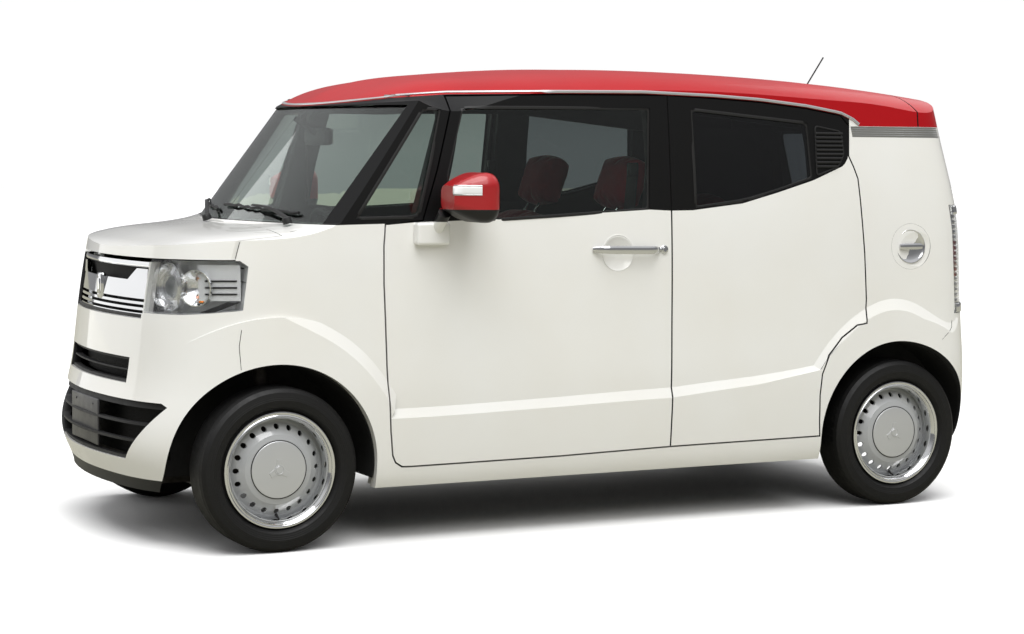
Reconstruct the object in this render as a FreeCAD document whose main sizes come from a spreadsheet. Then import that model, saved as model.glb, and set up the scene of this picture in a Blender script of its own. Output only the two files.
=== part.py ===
# A small five-door family hatch: cream body, red roof, chrome grille, steel wheels.
# Frame: X forward, Y to the car's left, Z up; origin on the ground at the middle of the
# overall box. Lengths in millimetres.
import FreeCAD, Part
import math
import os
import Sketcher
from FreeCAD import Vector

SIZES = {
    # whole body
    "body_length": 3395,
    "body_half_width": 737.5,
    "body_height": 1670,
    "ground_clearance": 195,
    "nose_bow": 150,
    "tail_bow": 12,
    # walls, layer by layer from the outer skin
    "door_wall": 62,
    "door_wall_upper": 40,
    "frame_depth": 40,
    "frame_depth_upper": 34,
    "roof_wall": 24,
    "roof_frame_depth": 30,
    "panel_wall": 30,
    "bonnet_wall": 20,
    "shut_gap": 6,
    "seat_gap": 0.3,
    "layer_gap": 0.7,
    "overrun": 60,
    "glass_sink": 5,
    "glass_thickness": 4,
    # wheels
    "front_axle": 1215.5,
    "rear_axle_place": -1304.5,
    "track_half": 652.5,
    "tyre_radius": 278.5,
    "tyre_width": 155,
    "rim_radius": 193,
    "rim_seat_radius": 178,
    "rim_width": 128,
    "arch_radius": 350,
    "arch_lift": 5,
    "arch_inner_front": 398,
    "arch_inner_rear": 535,
    "flare_radius_front": 512,
    "flare_radius_rear": 520,
    "flare_step": 12.5,
    "flare_slope": 22,
    "flare_root": 400,
    "flare_bow": 14,
    "flare_lip_front": 440,
    "flare_lip_rear": 450,
    "crease_end": 146,
    "lip_end": 158,
    "crease_start": 35,
    "liner_wall": 4,
    # running gear
    "steer_low_half": 600,
    "steer_low_z": 196,
    "steer_top_half": 478,
    "steer_top_z": 780,
    "hub_radius": 62,
    "hub_bore": 22,
    "spindle_radius": 21.5,
    "knuckle_radius": 48,
    "knuckle_post_radius": 16,
    "steer_arm": 110,
    "steer_arm_inset": 20,
    "hub_back": 40,
    "cap_face": 52,
    "disc_wall": 5,
    "cap_radius": 97,
    "shoulder_radius": 118,
    "shoulder_face": 45,
    "disc_crown_radius": 143,
    "disc_edge_radius": 158,
    "dish_low": 12,
    "dish_high": 27,
    "dish_rim": 6,
    "rim_lip": 53,
    "flange_wall": 3.6,
    "rim_wall": 6,
    "rim_hole_radius": 9,
    "rim_holes": 20,
    "bead_half": 54,
    "sidewall": 100.5,
    "wall_foot_share": 0.64,
    "foot_width_share": 0.47,
    "bulge_share": 0.42,
    "shoulder_share": 0.16,
    "shoulder_width_share": 0.475,
    "tread_edge_share": 0.04,
    "tread_edge_width_share": 0.4,
    "tread_width_share": 0.3,
    "axis_edge": 0.5,
    "strut_radius": 24,
    "spring_radius": 55,
    "spring_low_z": 600,
    "spring_room": 15,
    "arm_radius": 14,
    "subframe_reach": 140,
    "subframe_half": 330,
    "bracket_reach": 60,
    "bracket_wall": 40,
    "beam_radius": 38,
    "trail_half": 470,
    "trail_reach": 420,
    "trail_drop": 42,
    # block, tank, exhaust
    "engine_long": 460,
    "engine_wide": 640,
    "engine_high": 520,
    "engine_gap": 80,
    "tank_long": 560,
    "tank_wide": 520,
    "tank_y": -200,
    "tank_high": 60,
    "tank_x": -900,
    "pipe_radius": 20,
    "pipe_y": -260,
    "exhaust_drop": 45,
    "silencer_x": -1500,
    "silencer_z": 330,
    "silencer_radius": 75,
    "silencer_long": 400,
    # cabin
    "dash_deep": 230,
    "dash_half": 590,
    "dash_low_z": 700,
    "dash_high_z": 985,
    "dash_round": 60,
    "wheel_tilt": 25,
    "driver_y": 320,
    "hand_wheel_x": 590,
    "hand_wheel_z": 950,
    "hand_wheel_radius": 180,
    "hand_wheel_grip": 14,
    "hand_wheel_boss": 40,
    "spoke_radius": 9.8,
    "column_length": 240,
    "seat_low_z": 480,
    "cushion_high": 130,
    "cushion_round": 35,
    "cushion_long": 500,
    "seat_half": 250,
    "back_thick": 130,
    "back_top_z": 1190,
    "back_lean": 19,
    "rest_share": 0.5,
    "rest_high": 222,
    "rest_back": 154,
    "rest_front": 58,
    "rest_round": 28,
    "frame_share": 0.8,
    "rear_cushion_long": 450,
    "rear_back_top_z": 1026,
    "front_seat_x": -60,
    "rear_seat_x": -860,
    # mirrors
    "mirror_root_half": 712,
    "mirror_stand": 38,
    "mirror_x": 505,
    "mirror_deep": 155,
    "mirror_wide": 175,
    "mirror_high": 150,
    "mirror_z": 1116,
    "mirror_round": 42,
    "mirror_belly": 104,
    "mirror_lip": 6,
    "mirror_nose_inset": 34,
    "mirror_stalk": 22,
    "mirror_base_x": 606,
    "mirror_base_long": 124,
    "mirror_base_z": 1026,
    "mirror_base_high": 78,
    # doors and lids
    "headlamp_inner": 400,
    "tail_lamp_inner": 581,
    "belt_z": 1075,
    "bonnet_rear": 1187,
    "tailgate_half": 575,
    "tailgate_x": -1400,
    "tailgate_low_z": 640,
    "gate_top_z": 1600,
    "rear_window_half": 520,
    "rear_window_low_z": 1110,
    "rear_window_high_z": 1440,
    "screen_low_x": 600,
    "screen_half": 640,
    "screen_top_z": 1506,
    "cowl_z": 1096,
    "bonnet_half": 655,
    "bonnet_hinge_half": 480,
    "hinge_foot": 22,
    "bonnet_low_z": 966,
    "grille_half": 392,
    "grille_low_z": 774,
    "grille_high_z": 958,
    "slot_half": 345,
    "slot_low_z": 553,
    "slot_high_z": 640,
    "grille_border": 10,
    "aerial_x": -1340,
    "aerial_z": 1612,
    "aerial_run": 90,
    "aerial_rise": 130,
    "aerial_radius": 3,
    "aerial_foot_radius": 12,
    # underbody
    "floor_z": 262,
    "floor_wall": 8,
    "floor_half": 620,
    "firewall_x": 1000,
    "firewall_half": 600,
    "load_step_x": -980,
    "load_z": 560,
    "load_reach": 1600,
    "liner_lip_half": 700,
    "liner_low_z": 230,
    "shaft_room": 90,
    "fuel_lid_radius": 88,
    "fuel_lid_x": -1358.5,
    "fuel_lid_z": 995,
    "lid_dish_radius": 62,
    "lid_dish_depth": 6,
    "cup_x": -71.5,
    "cup_z": 989,
    "cup_radius": 62,
    "cup_depth": 15,
}

doc = FreeCAD.newDocument("family_hatch")
sheet = doc.addObject("Spreadsheet::Sheet", "sizes")
for row, (alias, value) in enumerate(SIZES.items(), 1):
    sheet.set(f"A{row}", alias)
    sheet.set(f"B{row}", str(value))
    sheet.setAlias(f"B{row}", alias)
doc.recompute()


class Named:
    def __getattr__(self, alias):
        return float(sheet.get(alias))


v = Named()
UP = Vector(0, 0, 1)
ACROSS = Vector(0, 1, 0)
FORWARD = Vector(1, 0, 0)
ORIGIN = Vector(0, 0, 0)
far = v.body_half_width + v.overrun
long = v.body_length


# Tables of shares: x of the body length, y of the half width, z of the height
# (height, half width, front end, rear end) of the level cuts through the body
hull_shares = [
    (0.1168, 0.9356, 0.4895, -0.4875), (0.1796, 0.9654, 0.4999, -0.4978),
    (0.2575, 0.9776, 0.5, -0.5), (0.3234, 0.9831, 0.4919, -0.499),
    (0.4192, 0.9803, 0.4854, -0.4954), (0.5389, 0.9763, 0.4778, -0.4925),
    (0.6587, 0.9654, 0.4669, -0.489), (0.7545, 0.9492, 0.4566, -0.4789),
    (0.8383, 0.9302, 0.4477, -0.4683), (0.9281, 0.9071, 0.4389, -0.4583),
    (1.018, 0.8814, 0.4286, -0.4448),
]
corner_shares = [0.35, 0.65, 0.83]
belt_share = 0.7
nose_power = 8
tail_power = 20

# side outlines of bonnet, windscreen and roof, at steps across the half width
profile_steps_share = [0, 0.42, 0.7, 0.88, 1.02]
bonnet_line_shares = [
    (0.5141, 0.5389), (0.4891, 0.5653), (0.4744, 0.6), (0.4464, 0.621), (0.4166, 0.6347),
    (0.3786, 0.6449), (0.3507, 0.6515),
]
screen_top_share = [
    (0.2564, 0.9018),
]
roof_line_shares = [
    (0.2108, 0.9479), (0.1283, 0.976), (0.0131, 0.9928), (-0.0894, 0.9952), (-0.2452, 0.985),
    (-0.396, 0.9605), (-0.5315, 0.921),
]
# how much of an inset the windscreen foot moves back and down, and how the bows fade
inset_back_share, inset_rise_share = 0.8, 0.6
scuttle_share, roof_back_share = 0.5, 0.6
bonnet_drop_share = [0, 0.002, 0.006, 0.014, 0.03]
screen_back_share = [0, 0.012, 0.03, 0.048, 0.066]
screen_rise_share = [0, 0.002, 0.005, 0.008, 0.011]
roof_drop_share = [0, 0.005, 0.017, 0.047, 0.1]

# door, lid and lamp outlines in side view
front_door_lower_shares = [
    (-0.087, 0.1665), (0.0493, 0.1605), (0.2163, 0.1581), (0.2275, 0.1587), (0.2349, 0.1683),
    (0.2384, 0.1838), (0.2411, 0.2335), (0.2434, 0.3096), (0.2449, 0.3671), (0.2464, 0.4617),
    (0.2479, 0.5371), (0.2476, 0.612), (0.2455, 0.6575),
]
front_door_upper_shares = [
    (0.2046, 0.6641), (0.1869, 0.7701), (0.1657, 0.9222), (0.0426, 0.9287), (-0.087, 0.9317),
]
rear_door_shares = [
    (-0.087, 0.9317), (-0.1436, 0.9269), (-0.2025, 0.9204), (-0.2629, 0.9084), (-0.3091, 0.894),
    (-0.32, 0.8713), (-0.318, 0.8024), (-0.3247, 0.776), (-0.3297, 0.7509), (-0.3321, 0.7036),
    (-0.3371, 0.5808), (-0.3398, 0.4766), (-0.3383, 0.4228), (-0.3253, 0.4192), (-0.3047, 0.3922),
    (-0.287, 0.3533), (-0.2782, 0.3114), (-0.2761, 0.2635), (-0.2773, 0.2036), (-0.2788, 0.1701),
    (-0.087, 0.1665),
]
front_window_shares = [
    (0.1566, 0.8976), (0.1766, 0.7587), (0.1751, 0.6754), (0.1194, 0.6653), (-0.0594, 0.6838),
    (-0.0644, 0.903),
]
rear_window_shares = [
    (-0.1153, 0.9018), (-0.2638, 0.8754), (-0.2682, 0.7521), (-0.2249, 0.7263), (-0.1804, 0.7042),
    (-0.1171, 0.6868),
]
quarter_window_shares = [
    (0.2004, 0.8934), (0.1798, 0.8934), (0.2096, 0.6719), (0.277, 0.6695),
]
front_aperture_shares = [
    (-0.0676, 0.1976), (0.2049, 0.1976), (0.2225, 0.2515), (0.2225, 0.6168), (0.1798, 0.6527),
    (0.1518, 0.8922), (-0.0676, 0.8982),
]
rear_aperture_shares = [
    (-0.1074, 0.2006), (-0.2605, 0.2006), (-0.2635, 0.3353), (-0.2782, 0.3832), (-0.3165, 0.4491),
    (-0.3165, 0.7066), (-0.2959, 0.8563), (-0.1074, 0.8958),
]
roof_edge_shares = [
    (0.3404, 0.8802), (0.2564, 0.9024), (0.2166, 0.9168), (0.1624, 0.9257), (0.0426, 0.9305),
    (-0.0579, 0.9335), (-0.1436, 0.9287), (-0.2025, 0.9222), (-0.2629, 0.9102), (-0.3091, 0.8958),
    (-0.3253, 0.8826), (-0.3342, 0.8701), (-0.4476, 0.8701), (-0.5433, 0.8701),
]
band_shares = [
    (-0.3224, 0.8695), (-0.4434, 0.8695), (-0.4476, 0.8455), (-0.3247, 0.8455),
]
headlamp_shares = [
    (0.5171, 0.5802), (0.4847, 0.5832), (0.4446, 0.5856), (0.3943, 0.5862), (0.3866, 0.5749),
    (0.3925, 0.4874), (0.4449, 0.4772), (0.5171, 0.4731),
]
bumper_split_shares = [
    (0.3925, 0.4826), (0.3975, 0.4156), (0.3946, 0.3353), (0.3946, 0.0599), (0.5465, 0.0599),
    (0.5465, 0.4731), (0.4449, 0.4725),
]
crease_line_shares = [
    (0.237, 0.2922), (0.0502, 0.2994), (-0.0862, 0.309), (-0.1904, 0.3293),
]
lip_line_shares = [
    (0.2429, 0.2527), (0.0499, 0.2587), (-0.0867, 0.2659), (-0.1907, 0.2934),
]
intake_shares = [
    (0, 0.1796), (0.5315, 0.1796), (0.7702, 0.2922), (0.739, 0.2994), (0, 0.2994),
]
# heights of the slots in the grilles
grille_rows_share = [
    (0.5389, 0.5665), (0.4964, 0.5024), (0.485, 0.491), (0.4737, 0.4796),
]
slot_rows_share = [
    (0.3365, 0.3557), (0.3587, 0.3778),
]
intake_rows_share = [
    (0.1868, 0.2168), (0.2216, 0.2515), (0.2563, 0.2862),
]
tail_lamp_shares = [
    (-0.4538, 0.691), (-0.4582, 0.6329), (-0.4626, 0.4629), (-0.462, 0.4389), (-0.5433, 0.4389),
    (-0.5433, 0.691),
]
rear_bumper_shares = [
    (-0.4588, 0.4287), (-0.4564, 0.4048), (-0.427, 0.3581), (-0.4255, 0.0898), (-0.5728, 0.0898),
    (-0.5728, 0.4287),
]


# Helpers
def place(shares):
    return [(x * v.body_length, z * v.body_height) for x, z in shares]


def prism(points, y0, y1):
    """Side outline (x, z) drawn from y0 to y1."""
    wire = Part.makePolygon([Vector(x, y0, z) for x, z in points + points[:1]])
    return Part.Face(wire).extrude(Vector(0, y1 - y0, 0))


def place_across(shares):
    return [(y * v.body_half_width, z * v.body_height) for y, z in shares]


def end_prism(points):
    """Outline seen from the front (y, z), drawn from the middle of the car past its nose."""
    wire = Part.makePolygon([Vector(0, y, z) for y, z in points + points[:1]])
    return Part.Face(wire).extrude(FORWARD * long)


def grown(points, by):
    """The outline with every side moved out by a gap."""
    wire = Part.makePolygon([Vector(x, z, 0) for x, z in points + points[:1]])
    face = Part.Face(wire)
    moved = face.makeOffset2D(by, 2)
    return [(p.X, p.Y) for p in moved.OuterWire.OrderedVertexes]


def box(x0, x1, y0, y1, z0, z1):
    return Part.makeBox(x1 - x0, y1 - y0, z1 - z0, Vector(x0, y0, z0))


def rod(radius, start, end):
    line = end - start
    return Part.makeCylinder(radius, line.Length, start, line)


def mirrored(shape):
    return shape.mirror(ORIGIN, ACROSS)


def both(shape):
    return Part.makeCompound([shape, mirrored(shape)])


def biggest(shape):
    return max(shape.Solids, key=lambda s: s.Volume)


def corner(power):
    """A quarter of the level cut, from the end round to the side, both as shares."""
    middle = 0.5 ** (1 / power)
    first = [((1 - y ** power) ** (1 / power), y) for y in corner_shares]
    return [(1, 0)] + first + [(middle, middle)] + [(y, x) for x, y in first[::-1]]


def hull(lower, upper, wider=0, bow=0):
    """The left half of the body seen from above, level by level, moved in by two walls:
    one below the belt and one above it. It can also be made wider, with more bow at its ends."""
    wires = []
    for z, half, front, rear in hull_shares:
        inset = lower if z < belt_share else upper
        half = half * v.body_half_width - inset + wider
        front = front * v.body_length - inset
        rear = rear * v.body_length + inset
        rows = [((front - (v.nose_bow + bow) * y * y) * x, half * y) for x, y in corner(nose_power)]
        rows += [((rear + (v.tail_bow + bow) * y * y) * x, half * y) for x, y in corner(tail_power)[::-1]]
        points = [Vector(x, y, z * v.body_height) for x, y in rows]
        curve = Part.BSplineCurve()
        curve.interpolate(Points=points, InitialTangent=ACROSS, FinalTangent=-ACROSS)
        middle = Part.makeLine(points[-1], points[0])
        wires.append(Part.Wire([curve.toShape(), middle]))
    return Part.makeLoft(wires, True, False)


def profile(inset):
    """Bonnet, windscreen and roof in side view, crowned across the body."""
    wires = []
    last_step = len(profile_steps_share) - 1
    for k in range(-last_step, last_step + 1):
        i = abs(k)
        y = math.copysign(profile_steps_share[i], k) * v.body_half_width
        drop = bonnet_drop_share[i] * v.body_height + inset
        bonnet = [Vector(x, y, z - drop) for x, z in place(bonnet_line_shares)]
        back = screen_back_share[i] * v.body_length + inset * inset_back_share
        rise = screen_rise_share[i] * v.body_height - inset * inset_rise_share
        bonnet[-1] = Vector(bonnet[-1].x - back, y, bonnet[-1].z + rise + drop - inset)
        bonnet[-2] = Vector(bonnet[-2].x - back * scuttle_share, y, bonnet[-2].z + rise * scuttle_share)
        top_x, top_z = place(screen_top_share)[0]
        top = Vector(top_x - back, y, top_z + rise - inset)
        drop = roof_drop_share[i] * v.body_height + inset
        roof = [Vector(x - back * roof_back_share, y, z - drop) for x, z in place(roof_line_shares)]
        first = Part.BSplineCurve()
        first.interpolate(bonnet)
        last = Part.BSplineCurve()
        last.interpolate([top] + roof)
        floor = v.ground_clearance - v.overrun
        end = Vector(roof[-1].x, y, floor)
        start = Vector(bonnet[0].x, y, floor)
        edges = [first.toShape(), Part.makeLine(bonnet[-1], top), last.toShape(),
                 Part.makeLine(roof[-1], end), Part.makeLine(end, start), Part.makeLine(start, bonnet[0])]
        wires.append(Part.Wire(edges))
    return Part.makeLoft(wires, True, False)


# The body as one mass (left half), then its layers
axle_z = v.tyre_radius
arch_z = axle_z + v.arch_lift
front_x = v.front_axle
rear_x = v.rear_axle_place


def half_mass(lower, upper, top):
    return biggest(hull(lower, upper).common(profile(top)))


def flare_wire(y, front_radius, rear_radius, end, line):
    """Front arch, sill line and rear arch in side view, closed below the car."""
    def round_to(x, radius, degrees):
        angle = math.radians(degrees)
        return Vector(x + radius * math.cos(angle), y, axle_z + radius * math.sin(angle))

    front = [round_to(front_x, front_radius, a) for a in (0, end / 2, end)]
    rear = [round_to(rear_x, rear_radius, a) for a in (v.crease_start, (v.crease_start + 180) / 2, 180)]
    row = [front[-1]] + [Vector(x, y, z) for x, z in place(line)] + [rear[0]]
    below = [Vector(p.x, y, -v.overrun) for p in (rear[-1], front[0])]
    row_below = [rear[-1]] + below + [front[0]]
    edges = [Part.Arc(*front).toShape()]
    edges += [Part.makeLine(a, b) for a, b in zip(row, row[1:])]
    edges.append(Part.Arc(*rear).toShape())
    edges += [Part.makeLine(a, b) for a, b in zip(row_below, row_below[1:])]
    return Part.Wire(edges)


outer = half_mass(0, 0, 0)
crease = (v.flare_radius_front, v.flare_radius_rear, v.crease_end, crease_line_shares)
lip_row = (v.flare_lip_front, v.flare_lip_rear, v.lip_end, lip_line_shares)
slope_start = v.body_half_width - v.flare_slope
flare_wires = [flare_wire(v.flare_root, *crease), flare_wire(slope_start, *crease)]
flare_wires += [flare_wire(v.body_half_width, *lip_row), flare_wire(far, *lip_row)]
flares = Part.makeLoft(flare_wires, True, True).common(hull(0, 0, v.flare_step, v.flare_bow))
body = outer.fuse(biggest(flares))
wells = []
for x, inner in ((front_x, v.arch_inner_front), (rear_x, v.arch_inner_rear)):
    well = rod(v.arch_radius, Vector(x, inner, arch_z), Vector(x, far, arch_z))
    well = well.fuse(box(x - v.arch_radius, x + v.arch_radius, inner, far, 0, arch_z))
    wells.append(well)
    body = body.cut(well)

lower, upper = v.door_wall, v.door_wall_upper
behind_doors = half_mass(lower, upper, v.roof_wall)
clear_of_doors = half_mass(lower + v.layer_gap, upper + v.layer_gap, v.roof_wall + v.seat_gap)
cabin = half_mass(lower + v.frame_depth, upper + v.frame_depth_upper, v.roof_wall + v.roof_frame_depth)
behind_panels = half_mass(v.panel_wall, v.panel_wall, v.bonnet_wall)
glass_outer = half_mass(v.glass_sink, v.glass_sink, v.glass_sink)
glass_sum = v.glass_sink + v.glass_thickness
glass_inner = half_mass(glass_sum, glass_sum, glass_sum)


def layer(region, outside, inside):
    """The part of a region that lies between two masses."""
    return region.common(outside).cut(inside)


def dished(x, z, radius, depth):
    """A ball that leaves a shallow round dish in the body side."""
    skin = Part.makeLine(Vector(x, 0, z), Vector(x, far, z)).common(outer).BoundBox.YMax
    ball = (radius * radius + depth * depth) / (2 * depth)
    return Part.makeSphere(ball, Vector(x, skin - depth + ball, z))


half_gap = v.shut_gap / 2
parts = {}


def add(name, shape):
    parts[name] = shape


def add_pair(name, shape):
    add(f"{name}_left", shape)
    add(f"{name}_right", mirrored(shape))


def whole(shape):
    """Left half and right half as one solid over the centre plane."""
    return biggest(shape.fuse(mirrored(shape)).removeSplitter())


# Doors: whole thickness, windows cut through
front_door_outline = place(front_door_lower_shares + front_door_upper_shares)
rear_door_outline = place(rear_door_shares)
doors = {"front": front_door_outline, "rear": rear_door_outline}
windows = {"front": place(front_window_shares), "rear": place(rear_window_shares)}
door_rooms = []
for end in ("front", "rear"):
    frame = prism(grown(doors[end], -half_gap), far / 2, far).cut(prism(windows[end], 0, far))
    leaf = biggest(layer(frame, body, behind_doors))
    if end == "front":
        leaf = leaf.cut(dished(v.cup_x, v.cup_z, v.cup_radius, v.cup_depth))
    pane = layer(prism(grown(windows[end], -v.seat_gap), far / 2, far), glass_outer, glass_inner)
    add_pair(f"door_{end}", leaf)
    add_pair(f"glass_{end}", biggest(pane))
    door_rooms.append(prism(grown(doors[end], half_gap), far / 2, far).cut(clear_of_doors))

# Outlines of the front end, the tail and the roof
above = v.body_height + v.overrun
roof_outline = place(roof_edge_shares) + [(-long, above), (long, above)]
roof_prism = prism(roof_outline, 0, far)
lamp_prism = prism(place(headlamp_shares), v.headlamp_inner, far)
tail_prism = prism(place(tail_lamp_shares), v.tail_lamp_inner, far)
front_split = prism(place(bumper_split_shares), 0, far)
rear_split = prism(place(rear_bumper_shares), 0, far)
lid_end = Vector(v.fuel_lid_x, far, v.fuel_lid_z)
lid_start = Vector(v.fuel_lid_x, far / 2, v.fuel_lid_z)
door_edge = max(x for x, z in front_door_outline)
tail_x = v.tailgate_x

# Shell: sills, pillars, roof rails, quarters
band_outline = place(band_shares)
shell_rooms = door_rooms + [prism(place(o), 0, far) for o in (front_aperture_shares, rear_aperture_shares, quarter_window_shares)]
shell_rooms += [
    box(door_edge + half_gap, long, 0, far, 0, v.belt_z),
    box(v.bonnet_rear, long, 0, far, 0, v.body_height),
    box(v.screen_low_x, long, 0, v.screen_half, v.cowl_z, v.screen_top_z),
    roof_prism, rear_split, tail_prism,
    box(-long, tail_x, 0, v.tailgate_half, v.tailgate_low_z, v.body_height),
    prism(grown(band_outline, v.seat_gap), far / 2, far).cut(glass_inner),
]
shell = whole(biggest(body.cut([cabin] + shell_rooms)))
lid_room = rod(v.fuel_lid_radius, lid_start, lid_end).cut(behind_panels)
add("body_shell", biggest(shell.cut(lid_room)))
band = layer(prism(band_outline, far / 2, far), outer, glass_outer)
add("side_mouldings", both(biggest(band)))

# Roof, bonnet, wings, bumpers
roof = biggest(layer(roof_prism, outer, behind_panels))
spoiler_split = box(-long, tail_x, 0, far, 0, v.body_height)
add("roof_panel", whole(biggest(roof.cut(spoiler_split))))
add("tailgate_spoiler", whole(biggest(roof.common(spoiler_split.translated(Vector(-v.shut_gap, 0, 0))))))
bonnet_box = box(v.bonnet_rear + half_gap, long, 0, v.bonnet_half, v.bonnet_low_z, v.body_height)
bonnet = biggest(layer(bonnet_box, body, behind_panels).cut(prism(grown(place(headlamp_shares), half_gap), 0, far)))
foot = box(v.bonnet_rear + v.seat_gap, v.bonnet_rear + v.hinge_foot, v.bonnet_hinge_half, v.bonnet_hinge_half + v.hinge_foot, v.belt_z + v.layer_gap, v.belt_z + v.hinge_foot)
bonnet = biggest(bonnet.fuse(foot.common(outer)))
add("bonnet", whole(bonnet))
wing = box(door_edge + half_gap, long, v.arch_inner_front, far, 0, v.belt_z).cut(front_split).cut(lamp_prism)
wing = layer(wing, body, behind_panels)
wing = biggest(wing.cut(box(v.bonnet_rear, long, 0, v.bonnet_half + v.shut_gap, v.bonnet_low_z, v.body_height)))
add("front_wings", both(wing))
fascia = front_split.cut(lamp_prism)
fascia = fascia.cut(box(0, long, 0, v.grille_half, v.grille_low_z, v.grille_high_z))
fascia = fascia.cut(box(0, long, 0, v.slot_half, v.slot_low_z, v.slot_high_z))
fascia = fascia.cut(end_prism(place_across(intake_shares)))
add("front_bumper", whole(biggest(layer(fascia, body, behind_panels))))
lamp = prism(grown(place(headlamp_shares), -v.layer_gap), v.headlamp_inner + v.layer_gap, far)
lamp = layer(lamp, outer, behind_doors)
add("headlamps", both(biggest(lamp)))
lamp = prism(grown(place(tail_lamp_shares), -v.layer_gap), v.tail_lamp_inner + v.layer_gap, far)
lamp = layer(lamp, outer, behind_doors)
add("tail_lamps", both(biggest(lamp)))
add("rear_bumper", whole(biggest(layer(rear_split, body, behind_panels))))
lid = biggest(layer(rod(v.fuel_lid_radius - v.layer_gap, lid_start, lid_end), outer, glass_inner))
lid = lid.cut(dished(v.fuel_lid_x, v.fuel_lid_z, v.lid_dish_radius, v.lid_dish_depth))
add("fuel_lid", biggest(lid))

# Tailgate
gate = box(-long, tail_x - v.shut_gap, 0, v.tailgate_half - half_gap, v.tailgate_low_z + half_gap, v.gate_top_z)
rear_window = box(-long, 0, 0, v.rear_window_half, v.rear_window_low_z, v.rear_window_high_z)
gate = gate.cut(prism(grown(roof_outline, v.layer_gap), 0, far)).cut(prism(grown(place(rear_bumper_shares), v.shut_gap), 0, far))
gate = biggest(layer(gate.cut(rear_window), body, behind_doors))
add("tailgate", whole(gate))
pane = box(-long, 0, 0, v.rear_window_half - v.seat_gap, v.rear_window_low_z + v.seat_gap, v.rear_window_high_z - v.seat_gap)
pane = layer(pane, glass_outer, glass_inner)
add("tailgate_glass", whole(biggest(pane)))

# Fixed glass
screen = box(v.screen_low_x, long, 0, v.screen_half - v.seat_gap, v.cowl_z + v.seat_gap, v.screen_top_z)
screen = biggest(layer(screen.cut(roof_prism), glass_outer, glass_inner))
quarter = prism(grown(place(quarter_window_shares), -v.seat_gap), far / 2, far)
quarter = biggest(layer(quarter, glass_outer, glass_inner))
add("fixed_glazing", Part.makeCompound([whole(screen), quarter, mirrored(quarter)]))


# Front grille and lower grilles: plates behind the openings, slotted
nose_skin = layer(box(v.bonnet_rear, long, 0, far, 0, v.cowl_z), glass_inner, behind_panels).cut(wells[0])


def slotted(points, rows):
    """A plate behind an opening, with level slots between pairs of heights."""
    heights = [z for y, z in points]
    room = end_prism(grown(points, -v.grille_border)).fuse(box(0, long, 0, v.grille_border * 2, min(heights), max(heights)))
    slots = [room.common(box(0, long, 0, far, z0 * v.body_height, z1 * v.body_height)) for z0, z1 in rows]
    plate = end_prism(grown(points, -v.seat_gap))
    plate = plate.fuse(box(0, long, 0, v.grille_border, min(heights) + v.seat_gap, max(heights) - v.seat_gap))
    return whole(biggest(plate.cut(slots).common(nose_skin)))


def opening(half, low, high):
    return [(0, low), (half, low), (half, high), (0, high)]


grille = slotted(opening(v.grille_half, v.grille_low_z, v.grille_high_z), grille_rows_share)
add("front_grille", grille)
slot = slotted(opening(v.slot_half, v.slot_low_z, v.slot_high_z), slot_rows_share)
intake = slotted(place_across(intake_shares), intake_rows_share)

# Black outer trim: lower grilles, wipers, rod aerial
aerial_foot = Vector(v.aerial_x, 0, v.aerial_z)
aerial_tip = aerial_foot + Vector(-v.aerial_run, 0, v.aerial_rise)
aerial_lift = Vector(0, 0, v.aerial_foot_radius)
aerial = rod(v.aerial_radius, aerial_foot, aerial_tip)
aerial = biggest(aerial.fuse(rod(v.aerial_foot_radius, aerial_foot - aerial_lift * 2, aerial_foot + aerial_lift)).cut(profile(0)))
aerial.translate(Vector(0, 0, v.seat_gap))
add("trim_black", Part.makeCompound([slot, intake, biggest(aerial)]))

# Underbody: floor, firewall, load floor and wheel housings
steer_low = Vector(front_x, v.steer_low_half, v.steer_low_z)
steer_top = Vector(front_x, v.steer_top_half, v.steer_top_z)
steer_line = (steer_top - steer_low).normalize()
floor = box(v.load_step_x, v.firewall_x, 0, v.floor_half, v.floor_z, v.floor_z + v.floor_wall)
firewall = box(v.firewall_x, v.firewall_x + v.floor_wall, 0, v.firewall_half, v.floor_z, v.belt_z - v.layer_gap)
step = box(v.load_step_x, v.load_step_x + v.floor_wall, 0, v.floor_half, v.floor_z, v.load_z)
load = box(-v.load_reach, v.load_step_x + v.floor_wall, 0, v.arch_inner_rear + v.floor_wall, v.load_z, v.load_z + v.floor_wall)
under = floor.fuse([firewall, step, load])
inside_frame = half_mass(lower + v.frame_depth + v.seat_gap, upper + v.frame_depth_upper + v.seat_gap, v.panel_wall)
under = under.common(inside_frame)
for x, inner in ((front_x, v.arch_inner_front), (rear_x, v.arch_inner_rear)):
    outside = v.arch_radius - v.seat_gap
    start = Vector(x, inner, arch_z)
    lip = Vector(x, v.liner_lip_half, arch_z)
    solid = rod(outside, start, lip)
    under = under.cut(solid)
    hollow = rod(outside - v.liner_wall, start + Vector(0, v.liner_wall, 0), lip)
    liner = solid.cut(hollow).common(glass_inner)
    liner = liner.cut(box(x - outside, x + outside, inner, far, 0, v.liner_low_z))
    shaft_room = box(x - v.shaft_room, x + v.shaft_room, 0, inner + v.liner_wall * 2, 0, axle_z + v.shaft_room)
    under = under.fuse(liner.cut(shaft_room))
under = under.cut(rod(v.spring_radius + v.spring_room, steer_low, steer_top))
add("underbody", whole(biggest(under)))


# Pieces made from sketches and primitives


def cells(obj, **bound):
    for prop, text in bound.items():
        obj.setExpression(prop.replace("__", "."), text)
    return obj


def origin_plane(body_object, role):
    return next(f for f in body_object.Origin.OriginFeatures if f.Role == role)


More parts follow.
